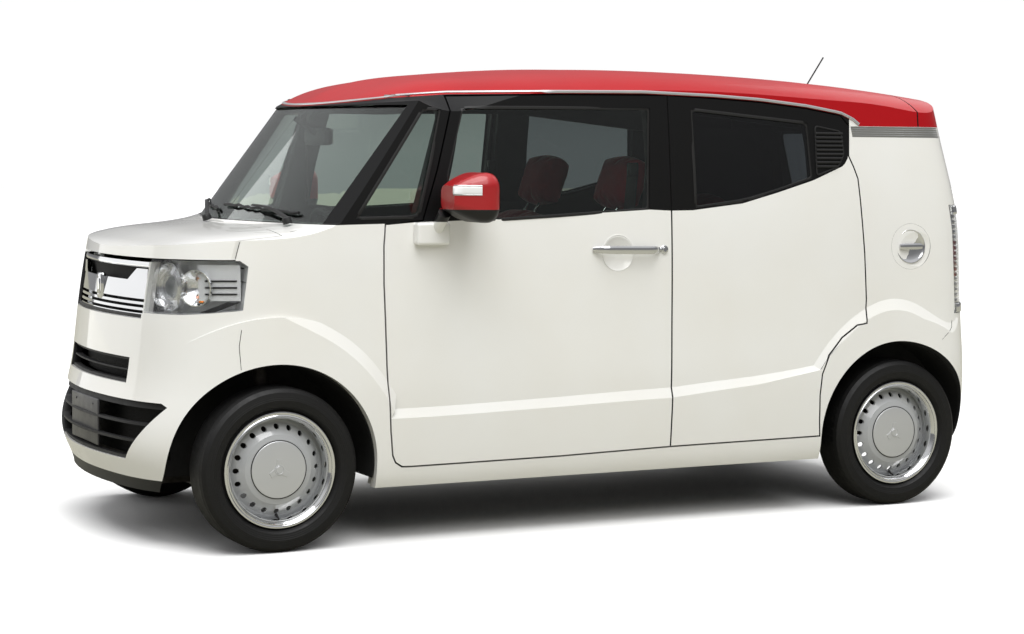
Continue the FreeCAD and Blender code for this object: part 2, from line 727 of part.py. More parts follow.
def sketch(body_object, name, role, corners):
    """A closed outline whose corners are driven by cells of the sheet."""
    made = body_object.newObject("Sketcher::SketchObject", name)
    made.AttachmentSupport = (origin_plane(body_object, role), [""])
    made.MapMode = "FlatFace"
    points = [Vector(made.evalExpression(a), made.evalExpression(b), 0) for a, b in corners]
    count = len(points)
    for i in range(count):
        made.addGeometry(Part.LineSegment(points[i], points[(i + 1) % count]))
    rules = [Sketcher.Constraint("Coincident", i, 2, (i + 1) % count, 1) for i in range(count)]
    texts = []
    for i, (a, b) in enumerate(corners):
        rules.append(Sketcher.Constraint("DistanceX", -1, 1, i, 1, points[i].x))
        rules.append(Sketcher.Constraint("DistanceY", -1, 1, i, 1, points[i].y))
        texts += [a, b]
    made.addConstraint(rules)
    for i, text in enumerate(texts):
        made.setExpression(f"Constraints[{count + i}]", text)
    return made


def turned(name, corners):
    """A body of revolution about its own Y axis: corners are (radius, along the axle)."""
    made = doc.addObject("PartDesign::Body", name)
    outline = sketch(made, f"{name}_section", "XY_Plane", corners)
    turn = made.newObject("PartDesign::Revolution", f"{name}_turn")
    turn.Profile = outline
    turn.ReferenceAxis = (outline, ["V_Axis"])
    turn.Angle = 360
    made.Tip = turn
    return made


tyre_section = [
    ("sizes.rim_seat_radius + sizes.seat_gap", "-sizes.bead_half"),
    ("sizes.rim_radius + sizes.rim_wall", "-sizes.bead_half"),
    ("sizes.tyre_radius - sizes.sidewall * sizes.wall_foot_share", "-sizes.tyre_width * sizes.foot_width_share"),
    ("sizes.tyre_radius - sizes.sidewall * sizes.bulge_share", "-sizes.tyre_width / 2"),
    ("sizes.tyre_radius - sizes.sidewall * sizes.shoulder_share", "-sizes.tyre_width * sizes.shoulder_width_share"),
    ("sizes.tyre_radius - sizes.sidewall * sizes.tread_edge_share", "-sizes.tyre_width * sizes.tread_edge_width_share"),
    ("sizes.tyre_radius", "-sizes.tyre_width * sizes.tread_width_share"),
]
tyre_section += [(a, b[1:]) for a, b in tyre_section[::-1]]
rim_section = [
    ("sizes.axis_edge", "sizes.cap_face"),
    ("sizes.cap_radius - sizes.disc_wall", "sizes.cap_face"),
    ("sizes.cap_radius", "sizes.cap_face - sizes.disc_wall / 2"),
    ("sizes.cap_radius + sizes.disc_wall", "sizes.cap_face - sizes.disc_wall / 2"),
    ("sizes.shoulder_radius", "sizes.shoulder_face"),
    ("sizes.disc_crown_radius", "sizes.dish_high"),
    ("sizes.disc_edge_radius", "sizes.dish_low"),
    ("sizes.rim_seat_radius - sizes.rim_wall", "sizes.dish_rim"),
    ("sizes.rim_seat_radius - sizes.rim_wall", "sizes.rim_lip"),
    ("sizes.rim_radius - sizes.rim_wall", "sizes.rim_width / 2"),
    ("sizes.rim_radius", "sizes.rim_width / 2"),
    ("sizes.rim_radius", "sizes.rim_width / 2 - sizes.flange_wall"),
    ("sizes.rim_seat_radius", "sizes.bead_half + sizes.seat_gap * 2"),
    ("sizes.rim_seat_radius", "-sizes.bead_half - sizes.seat_gap * 2"),
    ("sizes.rim_radius", "-sizes.rim_width / 2 + sizes.flange_wall"),
    ("sizes.rim_radius", "-sizes.rim_width / 2"),
    ("sizes.rim_radius - sizes.rim_wall", "-sizes.rim_width / 2"),
    ("sizes.rim_seat_radius - sizes.rim_wall", "-sizes.rim_lip"),
    ("sizes.rim_seat_radius - sizes.rim_wall", "sizes.dish_rim - sizes.disc_wall"),
    ("sizes.disc_edge_radius - sizes.disc_wall", "sizes.dish_low - sizes.disc_wall"),
    ("sizes.disc_crown_radius - sizes.disc_wall", "sizes.dish_high - sizes.disc_wall"),
    ("sizes.shoulder_radius - sizes.disc_wall", "sizes.shoulder_face - sizes.disc_wall"),
    ("sizes.hub_radius", "sizes.shoulder_face - sizes.disc_wall"),
    ("sizes.hub_radius", "-sizes.hub_back"),
    ("sizes.hub_bore", "-sizes.hub_back"),
    ("sizes.hub_bore", "sizes.cap_face - sizes.disc_wall * 2"),
    ("sizes.axis_edge", "sizes.cap_face - sizes.disc_wall * 2"),
]


def drilled(rim):
    """The rim with its ring of holes."""
    first = rod(v.rim_hole_radius, Vector(0, 0, v.disc_crown_radius), Vector(0, v.rim_width, v.disc_crown_radius))
    holes = []
    for k in range(int(v.rim_holes)):
        hole = first.copy()
        hole.rotate(ORIGIN, ACROSS, k * 360 / v.rim_holes)
        holes.append(hole)
    return rim.cut(holes)


pieces = []
corners_of_car = (("front_left", 1, "sizes.front_axle"), ("front_right", -1, "sizes.front_axle"),
                  ("rear_left", 1, "sizes.rear_axle_place"), ("rear_right", -1, "sizes.rear_axle_place"))
tyre_one = turned("tyre_one", tyre_section)
rim_one = turned("rim_one", rim_section)
doc.recompute()
wheel_shapes = {"tyre": tyre_one.Shape, "rim": drilled(rim_one.Shape)}
for where, side, along in corners_of_car:
    for kind, shape in wheel_shapes.items():
        made = doc.addObject("Part::Feature", f"{kind}_{where}")
        made.Shape = shape
        if side < 0:
            made.Placement = FreeCAD.Placement(ORIGIN, FreeCAD.Rotation(UP, 180))
        made.setExpression(".Placement.Base.x", along)
        made.setExpression(".Placement.Base.y", f"{side} * sizes.track_half")
        made.setExpression(".Placement.Base.z", "sizes.tyre_radius")
        pieces.append(made)

# Steering knuckles, front suspension, rear axle
def steer_at(z):
    """The point of the steering axis at a height."""
    return steer_low + steer_line * ((z - v.steer_low_z) / steer_line.z)


hub_end = v.track_half + v.cap_face - v.disc_wall * 2 - v.layer_gap
hub_face = v.track_half - v.hub_back - v.layer_gap
pivot = steer_at(axle_z)
hub = Vector(front_x, pivot.y, axle_z)
knuckle = rod(v.spindle_radius, hub, Vector(front_x, hub_end, axle_z))
knuckle = knuckle.fuse(rod(v.knuckle_radius, hub - ACROSS * v.knuckle_post_radius, Vector(front_x, hub_face, axle_z)))
spring_foot = steer_at(v.spring_low_z)
knuckle = knuckle.fuse(rod(v.knuckle_post_radius, steer_low, pivot))
knuckle = knuckle.fuse(rod(v.strut_radius, pivot, spring_foot - steer_line * v.seat_gap))
arm_end = Vector(front_x - v.steer_arm, pivot.y - v.steer_arm_inset, axle_z)
knuckle = knuckle.fuse(rod(v.knuckle_post_radius / 2, hub, arm_end))
add_pair("knuckle", biggest(knuckle))
coil = rod(v.spring_radius, spring_foot, steer_top)
cup = rod(v.knuckle_post_radius, steer_low - steer_line * (v.arm_radius * 2 + v.seat_gap), steer_low - steer_line * v.seat_gap)
arm_z = steer_low.z - v.arm_radius
lower_arm = rod(v.arm_radius, Vector(front_x, 0, arm_z), Vector(front_x, v.steer_low_half, arm_z - v.seat_gap * 2))
lower_arm = lower_arm.cut(rod(v.knuckle_post_radius * 2, steer_low - steer_line * v.seat_gap, pivot))
subframe_top = arm_z + v.arm_radius
subframe = box(front_x - v.subframe_reach, front_x + v.subframe_reach, 0, v.subframe_half, arm_z - v.arm_radius, subframe_top)
bracket = box(v.firewall_x - v.bracket_reach, front_x - v.subframe_reach, v.subframe_half - v.bracket_wall, v.subframe_half, arm_z - v.arm_radius, v.floor_z - v.seat_gap)
front_low = biggest(subframe.fuse([lower_arm, cup, bracket]))
add("front_suspension", Part.makeCompound([whole(front_low), coil, mirrored(coil)]))
beam = rod(v.beam_radius, Vector(rear_x, 0, axle_z), Vector(rear_x, hub_face, axle_z))
beam = beam.fuse(rod(v.spindle_radius, Vector(rear_x, 0, axle_z), Vector(rear_x, hub_end, axle_z)))
trail_y = v.trail_half
trail_end = Vector(rear_x + v.trail_reach, trail_y, v.floor_z - v.trail_drop)
beam = beam.fuse(rod(v.arm_radius, Vector(rear_x, trail_y, axle_z), trail_end))
beam = beam.fuse(rod(v.arm_radius, trail_end, Vector(trail_end.x, trail_y, v.floor_z - v.seat_gap)))
beam = beam.fuse(rod(v.spring_radius, Vector(rear_x, trail_y, axle_z), Vector(rear_x, trail_y, v.load_z - v.seat_gap)))
add("rear_axle", whole(biggest(beam)))

# Heavy block, tank, exhaust
power = cells(doc.addObject("Part::Box", "power_unit"), Length="sizes.engine_long", Width="sizes.engine_wide",
              Height="sizes.engine_high")
cells(power, __Placement__Base__x="sizes.firewall_x + sizes.engine_gap", __Placement__Base__y="-sizes.engine_wide / 2",
      __Placement__Base__z="sizes.steer_low_z + sizes.seat_gap")
tank = cells(doc.addObject("Part::Box", "fuel_tank"), Length="sizes.tank_long", Width="sizes.tank_wide", Height="sizes.tank_high")
cells(tank, __Placement__Base__x="sizes.tank_x", __Placement__Base__y="sizes.tank_y",
      __Placement__Base__z="sizes.floor_z - sizes.tank_high - sizes.seat_gap")
pieces += [power, tank]
pipe_z = v.floor_z - v.exhaust_drop
box_centre = Vector(v.silencer_x, v.pipe_y, v.silencer_z)
run = [Vector(v.firewall_x + v.engine_gap - v.seat_gap, v.pipe_y, pipe_z), Vector(rear_x - v.beam_radius, v.pipe_y, pipe_z), box_centre]
pipe = rod(v.pipe_radius, run[0], run[1]).fuse(Part.makeSphere(v.pipe_radius, run[1])).fuse(rod(v.pipe_radius, run[1], run[2]))
silencer = rod(v.silencer_radius, box_centre - ACROSS * v.silencer_radius, box_centre + ACROSS * v.silencer_long)
add("exhaust", biggest(pipe.fuse(silencer)))

# Cabin
dash = box(v.firewall_x - v.dash_deep, v.firewall_x - v.seat_gap, -v.dash_half, v.dash_half, v.dash_low_z, v.dash_high_z)
dash = dash.makeFillet(v.dash_round, [e for e in dash.Edges if abs(e.tangentAt(0).y) > 0.9])
tilt = math.radians(v.wheel_tilt)
column = Vector(math.cos(tilt), 0, -math.sin(tilt))
centre = Vector(v.hand_wheel_x, -v.driver_y, v.hand_wheel_z)
hand_wheel = Part.makeTorus(v.hand_wheel_radius, v.hand_wheel_grip, centre, column)
boss = rod(v.hand_wheel_boss, centre, centre + column * v.column_length)
spoke = rod(v.spoke_radius, centre - ACROSS * v.hand_wheel_radius, centre + ACROSS * v.hand_wheel_radius)
add("dashboard", Part.makeCompound([biggest(dash.fuse(boss)), biggest(hand_wheel.fuse(spoke).cut(boss))]))


def seat(x, y, half, cushion_long, back_top):
    """A cushion on its frame, a leaning back and a head restraint."""
    base_z = v.floor_z + v.floor_wall + v.seat_gap
    cushion = box(x, x + cushion_long, y - half, y + half, v.seat_low_z, v.seat_low_z + v.cushion_high)
    cushion = cushion.makeFillet(v.cushion_round, cushion.Edges)
    frame = box(x + v.cushion_round, x + cushion_long - v.cushion_round * 2, y - half * v.frame_share, y + half * v.frame_share, base_z, v.seat_low_z + v.cushion_round)
    back = box(-v.back_thick, 0, y - half, y + half, 0, back_top - v.seat_low_z)
    back = back.makeFillet(v.cushion_round, back.Edges)
    rest = box(-v.rest_back, -v.rest_front, y - half * v.rest_share, y + half * v.rest_share, back_top - v.seat_low_z - v.cushion_round, back_top - v.seat_low_z + v.rest_high)
    rest = rest.makeFillet(v.rest_round, rest.Edges)
    both_parts = back.fuse(rest)
    both_parts.rotate(ORIGIN, ACROSS, -v.back_lean)
    both_parts.translate(Vector(x + v.back_thick, 0, v.seat_low_z))
    return biggest(cushion.fuse([frame, both_parts]))


front_seat = seat(v.front_seat_x, v.driver_y, v.seat_half, v.cushion_long, v.back_top_z)
add("front_seats", both(front_seat))
rear_half = seat(v.rear_seat_x, v.driver_y, v.seat_half, v.rear_cushion_long, v.rear_back_top_z)
add("rear_seat", both(rear_half))

# Door mirrors
skin_y = v.mirror_root_half
shell_y = skin_y + v.mirror_stand


def pod_ring(x, inset):
    """A rounded frame across the car, drawn in on every side."""
    y0, y1 = shell_y + inset, shell_y + v.mirror_wide - inset
    z0, z1 = v.mirror_z + inset, v.mirror_z + v.mirror_high - inset
    face = Part.Face(Part.makePolygon([Vector(x, y0, z0), Vector(x, y1, z0), Vector(x, y1, z1), Vector(x, y0, z1), Vector(x, y0, z0)]))
    slab = face.extrude(FORWARD)
    slab = slab.makeFillet(v.mirror_round - inset / 2, [e for e in slab.Edges if abs(e.tangentAt(0).x) > 0.9])
    return min(slab.Faces, key=lambda f: f.CenterOfMass.x).OuterWire


pod_rings = [(0, v.mirror_lip), (v.mirror_lip, 0), (v.mirror_belly, v.mirror_lip), (v.mirror_deep, v.mirror_nose_inset)]
mirror_shell = Part.makeLoft([pod_ring(v.mirror_x + x, inset) for x, inset in pod_rings], True, False)
base_top = v.mirror_base_z + v.mirror_base_high
base = box(v.mirror_base_x, v.mirror_base_x + v.mirror_base_long, skin_y - v.mirror_round, skin_y + v.mirror_stand, v.mirror_base_z, base_top)
base = base.makeFillet(v.mirror_stalk / 2, [e for e in base.Edges if e.BoundBox.YMax > skin_y + v.mirror_stalk])
foot_x = v.mirror_base_x + v.mirror_stalk * 2
stalk = rod(v.mirror_stalk, Vector(foot_x, skin_y + v.mirror_stalk, base_top - v.mirror_stalk), Vector(foot_x, shell_y + v.mirror_round, v.mirror_z + v.mirror_stalk))
base = base.fuse(stalk).cut(outer)
base.translate(Vector(0, v.seat_gap, 0))
mirror_shell = mirror_shell.fuse(base)
add_pair("mirror", biggest(mirror_shell))

os.makedirs("parts", exist_ok=True)
for name, shape in parts.items():
    feature = doc.addObject("Part::Feature", name)
    feature.Label = name
    feature.Shape = shape
    feature.Placement = FreeCAD.Placement()
doc.recompute()
for made in pieces:
    made.Label = made.Name
    parts[made.Name] = made.Shape
for feature in doc.Objects:
    if "Invalid" in feature.State or "Error" in feature.State:
        raise RuntimeError(f"{feature.Label} did not recompute")
for name in parts:
    feature = doc.getObject(name)
    if feature.Shape.isNull() or not feature.Shape.isValid():
        raise RuntimeError(f"{name} has no valid shape")
    feature.Shape.exportStep(f"parts/{name}.step")
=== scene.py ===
"""Looks of the small two-tone family car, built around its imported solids. Metres; X forward, Y left, Z up."""
import math

import bmesh
import bpy
from mathutils import Matrix, Vector
from mathutils.bvhtree import BVHTree


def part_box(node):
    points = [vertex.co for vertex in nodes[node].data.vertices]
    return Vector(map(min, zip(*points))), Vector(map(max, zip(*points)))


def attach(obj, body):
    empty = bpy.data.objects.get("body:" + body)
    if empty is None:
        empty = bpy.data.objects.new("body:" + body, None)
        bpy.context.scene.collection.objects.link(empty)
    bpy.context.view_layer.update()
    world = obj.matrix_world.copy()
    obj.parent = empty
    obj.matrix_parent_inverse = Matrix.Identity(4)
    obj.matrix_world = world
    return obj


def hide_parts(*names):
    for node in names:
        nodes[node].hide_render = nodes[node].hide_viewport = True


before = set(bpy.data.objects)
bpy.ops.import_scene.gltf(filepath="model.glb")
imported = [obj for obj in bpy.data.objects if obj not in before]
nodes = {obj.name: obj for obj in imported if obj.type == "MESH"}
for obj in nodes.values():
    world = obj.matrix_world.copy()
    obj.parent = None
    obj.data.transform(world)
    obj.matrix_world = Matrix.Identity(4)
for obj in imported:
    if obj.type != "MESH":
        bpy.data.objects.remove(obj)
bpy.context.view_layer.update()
scene = bpy.context.scene
MM = 0.001
FULL_TURN = 2 * math.pi
SIDES = (("left", 1), ("right", -1))
ENDS = (("front", 1.2155), ("rear", -1.3045))
AXLE_Z = 0.2785
HALF_TRACK = 0.6525
# The middle of the wheelbase lies this far behind the frame's origin, in millimetres.
MID_WHEELBASE = 44.5
# A point low in the cabin; faces turned towards it are inner ones.
CABIN_HEART = (-0.2, 0.0, 0.3)
# Heights where the door mirror's cover meets its black underside, and where its ivory foot begins.
MIRROR_SEAM = 1.150
MIRROR_FOOT = 1.107
IVORY, IVORY_SHADE = "#EAEAE7", "#E7E6E1"
RED, RED_SHADE = "#A80611", "#9F050F"


# Finishes
def linear(code):
    """An sRGB hex colour as linear values."""
    def channel(c):
        c /= 255
        return c / 12.92 if c <= 0.04045 else ((c + 0.055) / 1.055) ** 2.4
    return (*(channel(int(code[i:i + 2], 16)) for i in (1, 3, 5)), 1)


def add(tree, kind, inputs=None, **settings):
    """A node with its settings; an input takes a value or another node's output."""
    made = tree.nodes.new(kind)
    for key, value in settings.items():
        setattr(made, key, value)
    for key, value in (inputs or {}).items():
        if isinstance(value, bpy.types.NodeSocket):
            tree.links.new(value, made.inputs[key])
        else:
            made.inputs[key].default_value = value
    return made


def finish(name, **sockets):
    """A new surface: its tree, its shader and its object coordinates."""
    made = bpy.data.materials.new(name)
    made.use_nodes = True
    tree = made.node_tree
    shader = tree.nodes["Principled BSDF"]
    for key, value in sockets.items():
        shader.inputs[key.replace("_", " ")].default_value = value
    place = add(tree, "ShaderNodeTexCoord").outputs["Object"]
    return made, tree, shader, place


def speckle(tree, place, size, low, high, detail=3):
    """Noise of a real size in metres, mapped to a range."""
    noise = add(tree, "ShaderNodeTexNoise", {"Vector": place, "Scale": 1 / size, "Detail": detail})
    return add(tree, "ShaderNodeMapRange", {"Value": noise.outputs["Fac"], "From Min": 0.3, "From Max": 0.7,
                                            "To Min": low, "To Max": high}).outputs["Result"]


def bump(tree, shader, height, strength, distance):
    """Relief of a real depth in metres on the shader's normal."""
    relief = add(tree, "ShaderNodeBump", {"Height": height, "Strength": strength, "Distance": distance})
    tree.links.new(relief.outputs["Normal"], shader.inputs["Normal"])


def overlay(tree, shader, mask, **over):
    """Other values for the shader's sockets where the mask is 1."""
    for key, value in over.items():
        socket = shader.inputs[key.replace("_", " ")]
        chosen = add(tree, "ShaderNodeMix", data_type="RGBA" if socket.type == "RGBA" else "FLOAT")
        share, base, top = [s for s in chosen.inputs if s.enabled]
        tree.links.new(mask, share)
        if socket.is_linked:
            tree.links.new(socket.links[0].from_socket, base)
        else:
            base.default_value = socket.default_value
        top.default_value = value
        tree.links.new(next(s for s in chosen.outputs if s.enabled), socket)


def lined(made):
    """The faces that look into the cabin get dark trim over the enamel."""
    tree = made.node_tree
    coords = add(tree, "ShaderNodeTexCoord")
    out = add(tree, "ShaderNodeVectorMath", {0: coords.outputs["Object"], 1: CABIN_HEART},
              operation="SUBTRACT")
    facing = add(tree, "ShaderNodeVectorMath", {0: out.outputs["Vector"], 1: coords.outputs["Normal"]},
                 operation="DOT_PRODUCT")
    inner = add(tree, "ShaderNodeMath", {0: facing.outputs["Value"], 1: -0.08}, operation="LESS_THAN")
    overlay(tree, tree.nodes["Principled BSDF"], inner.outputs["Value"], Base_Color=linear("#2B2B2C"),
            Roughness=0.7, Coat_Weight=0.0)
    return made


def below(tree, level):
    """1 where the height is under a level."""
    axes = add(tree, "ShaderNodeSeparateXYZ", {"Vector": add(tree, "ShaderNodeTexCoord").outputs["Object"]})
    return add(tree, "ShaderNodeMath", {0: axes.outputs["Z"], 1: level},
               operation="LESS_THAN").outputs["Value"]


def lipped_enamel():
    """The ivory enamel of the bumper, with its lower lip left in black plastic."""
    made = lined(enamel("ivory_enamel_black_lip", IVORY, IVORY_SHADE))
    tree = made.node_tree
    lip_top = 0.236
    overlay(tree, tree.nodes["Principled BSDF"], below(tree, lip_top), Base_Color=linear("#101011"),
            Roughness=0.5, Coat_Weight=0.0)
    return made


def mirror_finish():
    """Red cover, black underside, ivory foot."""
    made = enamel("red_cover_black_underside", RED, RED_SHADE, 0.55)
    tree = made.node_tree
    shader = tree.nodes["Principled BSDF"]
    overlay(tree, shader, below(tree, MIRROR_SEAM), Base_Color=linear("#0C0C0D"), Roughness=0.45,
            Coat_Weight=0.0)
    overlay(tree, shader, below(tree, MIRROR_FOOT), Base_Color=linear(IVORY), Roughness=0.42, Coat_Weight=1.0)
    return made


def tyre_rubber(name, axle_x):
    """Rubber with four grooves and cross cuts on the tread, and fine rings on the sidewall."""
    groove_pitch, cuts_per_turn, cut_slant = 0.026, 64.0, 40.0
    tread_from, sidewall_to, ring_pitch = 0.2710, 0.2500, 0.0065
    made, tree, shader, place = finish(name, Base_Color=linear("#070707"), IOR=1.4)
    tree.links.new(speckle(tree, place, 0.03, 0.52, 0.66), shader.inputs["Roughness"])
    hub = add(tree, "ShaderNodeVectorMath", {0: place, 1: (axle_x, 0.0, AXLE_Z)}, operation="SUBTRACT")
    axes = add(tree, "ShaderNodeSeparateXYZ", {"Vector": hub.outputs["Vector"]})

    def math_node(how, a, b=0.0):
        return add(tree, "ShaderNodeMath", {0: a, 1: b}, operation=how).outputs["Value"]

    x, y, z = (axes.outputs[k] for k in "XYZ")
    radius = math_node("SQRT", math_node("ADD", math_node("MULTIPLY", x, x), math_node("MULTIPLY", z, z)))
    angle = math_node("ARCTAN2", z, x)
    across = math_node("SUBTRACT", math_node("ABSOLUTE", y), HALF_TRACK)
    wave = math_node("COSINE", math_node("MULTIPLY", across, FULL_TURN / groove_pitch))
    grooves = math_node("GREATER_THAN", wave, 0.78)
    slant = math_node("ADD", math_node("MULTIPLY", angle, cuts_per_turn),
                      math_node("MULTIPLY", across, cut_slant))
    cuts = math_node("GREATER_THAN", math_node("SINE", slant), 0.86)
    tread = math_node("GREATER_THAN", radius, tread_from)
    cut = math_node("MULTIPLY", math_node("MAXIMUM", grooves, cuts), tread)
    ripple = math_node("SINE", math_node("MULTIPLY", radius, FULL_TURN / ring_pitch))
    rings = math_node("MULTIPLY", ripple, 0.06)
    side = math_node("LESS_THAN", radius, sidewall_to)
    height = math_node("ADD", math_node("SUBTRACT", 1.0, cut), math_node("MULTIPLY", rings, side))
    bump(tree, shader, height, 0.9, 0.004)
    return made


def enamel(name, colour, shade, coat=1.0, gloss=0.5):
    """Baked enamel under clear lacquer: deep gloss, a little orange peel of about 3 mm."""
    peel = 0.003
    made, tree, shader, place = finish(name, Roughness=0.42, IOR=1.45, Specular_IOR_Level=gloss,
                                       Coat_Weight=coat, Coat_Roughness=0.035, Coat_IOR=1.5)
    cloud = speckle(tree, place, 0.35, 0, 1)
    tint = add(tree, "ShaderNodeMix", {"Factor": cloud, "A": linear(colour), "B": linear(shade)},
               data_type="RGBA")
    tree.links.new(tint.outputs["Result"], shader.inputs["Base Color"])
    bump(tree, shader, speckle(tree, place, peel, 0, 1), 0.04, 0.0004)
    return made


# The foot of the black film: along the car, height.
WAIST_REACH, WAIST_LOW, WAIST_HIGH = 1.7, 1.0, 1.8
WAIST_LINE = [
    (-1.7, 1.7), (-1.0915, 1.7), (-1.09, 1.452), (-1.0845, 1.443), (-1.0795, 1.339), (-1.0565, 1.304),
    (-0.9125, 1.248), (-0.7505, 1.202), (-0.5995, 1.163), (-0.3855, 1.139), (-0.2925, 1.138),
    (-0.1885, 1.143), (0.4195, 1.112), (0.7245, 1.104), (0.8265, 1.100), (1.02, 1.096), (1.7, 1.096),
]


def two_tone_enamel():
    """The ivory enamel with satin black film above the waist, forward of the rear quarter."""
    made = enamel("ivory_enamel_black_film", IVORY, IVORY_SHADE)
    tree = made.node_tree
    shader = tree.nodes["Principled BSDF"]
    place = add(tree, "ShaderNodeTexCoord").outputs["Object"]
    axes = add(tree, "ShaderNodeSeparateXYZ", {"Vector": place})
    along = add(tree, "ShaderNodeMapRange", {"Value": axes.outputs["X"], "From Min": -WAIST_REACH,
                                             "From Max": WAIST_REACH})
    waist = add(tree, "ShaderNodeFloatCurve", {"Value": along.outputs["Result"]})
    long, tall = 2 * WAIST_REACH, WAIST_HIGH - WAIST_LOW
    spots = [((x + WAIST_REACH) / long, (z - WAIST_LOW) / tall) for x, z in WAIST_LINE]
    curve = waist.mapping.curves[0]
    curve.points[0].location = spots[0]
    curve.points[1].location = spots[-1]
    for spot in spots[1:-1]:
        curve.points.new(*spot)
    for point in curve.points:
        point.handle_type = "VECTOR"
    waist.mapping.update()
    height = add(tree, "ShaderNodeMapRange", {"Value": axes.outputs["Z"], "From Min": WAIST_LOW,
                                              "From Max": WAIST_HIGH})
    above = add(tree, "ShaderNodeMath", {0: height.outputs["Result"], 1: waist.outputs["Value"]},
                operation="GREATER_THAN")
    overlay(tree, shader, above.outputs["Value"], Base_Color=linear("#060607"), Roughness=0.5,
            Specular_IOR_Level=0.25, Coat_Weight=0.0)
    return made


def moulded_plastic(name, colour, rough, grain):
    """Moulded plastic with a fine spark-eroded grain, given in metres."""
    made, tree, shader, place = finish(name, Base_Color=linear(colour), IOR=1.49)
    tree.links.new(speckle(tree, place, 0.05, rough - 0.06, rough + 0.06), shader.inputs["Roughness"])
    bump(tree, shader, speckle(tree, place, grain, 0, 1), 0.15, grain * 0.2)
    return made


def plated(name, colour, rough):
    """Bright plating over plastic: mirror-like, faintly hazed."""
    made, tree, shader, place = finish(name, Base_Color=linear(colour), Metallic=1.0)
    tree.links.new(speckle(tree, place, 0.06, rough, rough + 0.05), shader.inputs["Roughness"])
    return made


def pane_glass(name, colour, rough=0.0, body=1.0):
    """Toughened glass: clear body colour, hard reflections, faint dust; a thin cover has less body."""
    made, tree, shader, place = finish(name, Base_Color=linear(colour), IOR=1.5, Transmission_Weight=1.0,
                                       Alpha=body)
    tree.links.new(speckle(tree, place, 0.2, rough, rough + 0.012), shader.inputs["Roughness"])
    return made


def cast_metal(name, colour, rough, metallic, grain):
    """Bare metal with a sand-cast or drawn skin, darkened in patches by dirt."""
    made, tree, shader, place = finish(name, Metallic=metallic)
    patches = speckle(tree, place, 0.04, 0, 1)
    tint = add(tree, "ShaderNodeMix", {"Factor": patches, "A": linear(colour), "B": linear("#2A2725")},
               data_type="RGBA", clamp_factor=True)
    tree.links.new(tint.outputs["Result"], shader.inputs["Base Color"])
    tree.links.new(speckle(tree, place, 0.03, rough - 0.08, rough + 0.08), shader.inputs["Roughness"])
    bump(tree, shader, speckle(tree, place, grain, 0, 1), 0.25, grain * 0.3)
    return made


def grooved_aluminium():
    """Brushed aluminium strip with pressed grooves 8 mm apart."""
    groove_pitch = 8 * MM
    made, tree, shader, place = finish("grooved_aluminium", Base_Color=linear("#9A9B9B"), Metallic=1.0)
    axes = add(tree, "ShaderNodeSeparateXYZ", {"Vector": place})
    wave = add(tree, "ShaderNodeMath", {0: axes.outputs["Z"], 1: FULL_TURN / groove_pitch},
               operation="MULTIPLY")
    ridge = add(tree, "ShaderNodeMath", {0: wave.outputs["Value"]}, operation="SINE")
    bump(tree, shader, ridge.outputs["Value"], 0.9, 0.0012)
    tree.links.new(speckle(tree, place, 0.02, 0.28, 0.4), shader.inputs["Roughness"])
    return made


def woven_cloth(name, warp, weft, pitch):
    """Flat woven seat cloth, drawn with threads of the given spacing."""
    made, tree, shader, place = finish(name, Sheen_Weight=0.35, Sheen_Roughness=0.4, IOR=1.45, Roughness=0.9)
    axes = add(tree, "ShaderNodeSeparateXYZ", {"Vector": place})
    across = add(tree, "ShaderNodeMath", {0: axes.outputs["X"], 1: axes.outputs["Z"]}, operation="ADD")
    waves = []
    for value in (across.outputs["Value"], axes.outputs["Y"]):
        scaled = add(tree, "ShaderNodeMath", {0: value, 1: FULL_TURN / pitch}, operation="MULTIPLY")
        wave = add(tree, "ShaderNodeMath", {0: scaled.outputs["Value"]}, operation="SINE")
        waves.append(wave.outputs["Value"])
    weave = add(tree, "ShaderNodeMath", {0: waves[0], 1: waves[1]}, operation="MULTIPLY")
    span = {"Value": weave.outputs["Value"], "From Min": -1.0, "From Max": 1.0}
    share = add(tree, "ShaderNodeMapRange", span)
    mixed = {"Factor": share.outputs["Result"], "A": linear(warp), "B": linear(weft)}
    tint = add(tree, "ShaderNodeMix", mixed, data_type="RGBA")
    tree.links.new(tint.outputs["Result"], shader.inputs["Base Color"])
    bump(tree, shader, share.outputs["Result"], 0.4, pitch * 0.25)
    return made


ivory = lined(enamel("ivory_enamel", IVORY, IVORY_SHADE))
ivory_upper = lined(two_tone_enamel())
red = lined(enamel("red_enamel", RED, RED_SHADE, 0.1, 0.25))
black_plastic = moulded_plastic("black_moulded_plastic", "#101011", 0.62, 0.0012)
cabin_plastic = moulded_plastic("black_soft_trim", "#161617", 0.62, 0.0018)
chrome = plated("chromed_plastic", "#D9DADB", 0.04)
clear_pane = pane_glass("clear_green_glass", "#DCE8E2")
dark_pane = pane_glass("smoked_glass", "#989EA1")
lamp_cover = pane_glass("clear_polycarbonate", "#F4F6F7", body=0.3)
tread_of = {end: tyre_rubber(f"tyre_rubber_{end}", x) for end, x in ENDS}
wheel_silver = enamel("silver_wheel_lacquer", "#A9ABAC", "#A3A5A7")
under_coat = moulded_plastic("bitumen_undercoat", "#0E0E0E", 0.85, 0.004)
iron = cast_metal("cast_iron", "#4A4745", 0.6, 0.8, 0.002)
pipe_steel = cast_metal("stainless_pipe", "#8D867C", 0.38, 1.0, 0.001)
cloth = woven_cloth("burgundy_seat_cloth", "#7A1A25", "#97303A", 0.003)
strip = grooved_aluminium()
lip_ivory = lipped_enamel()

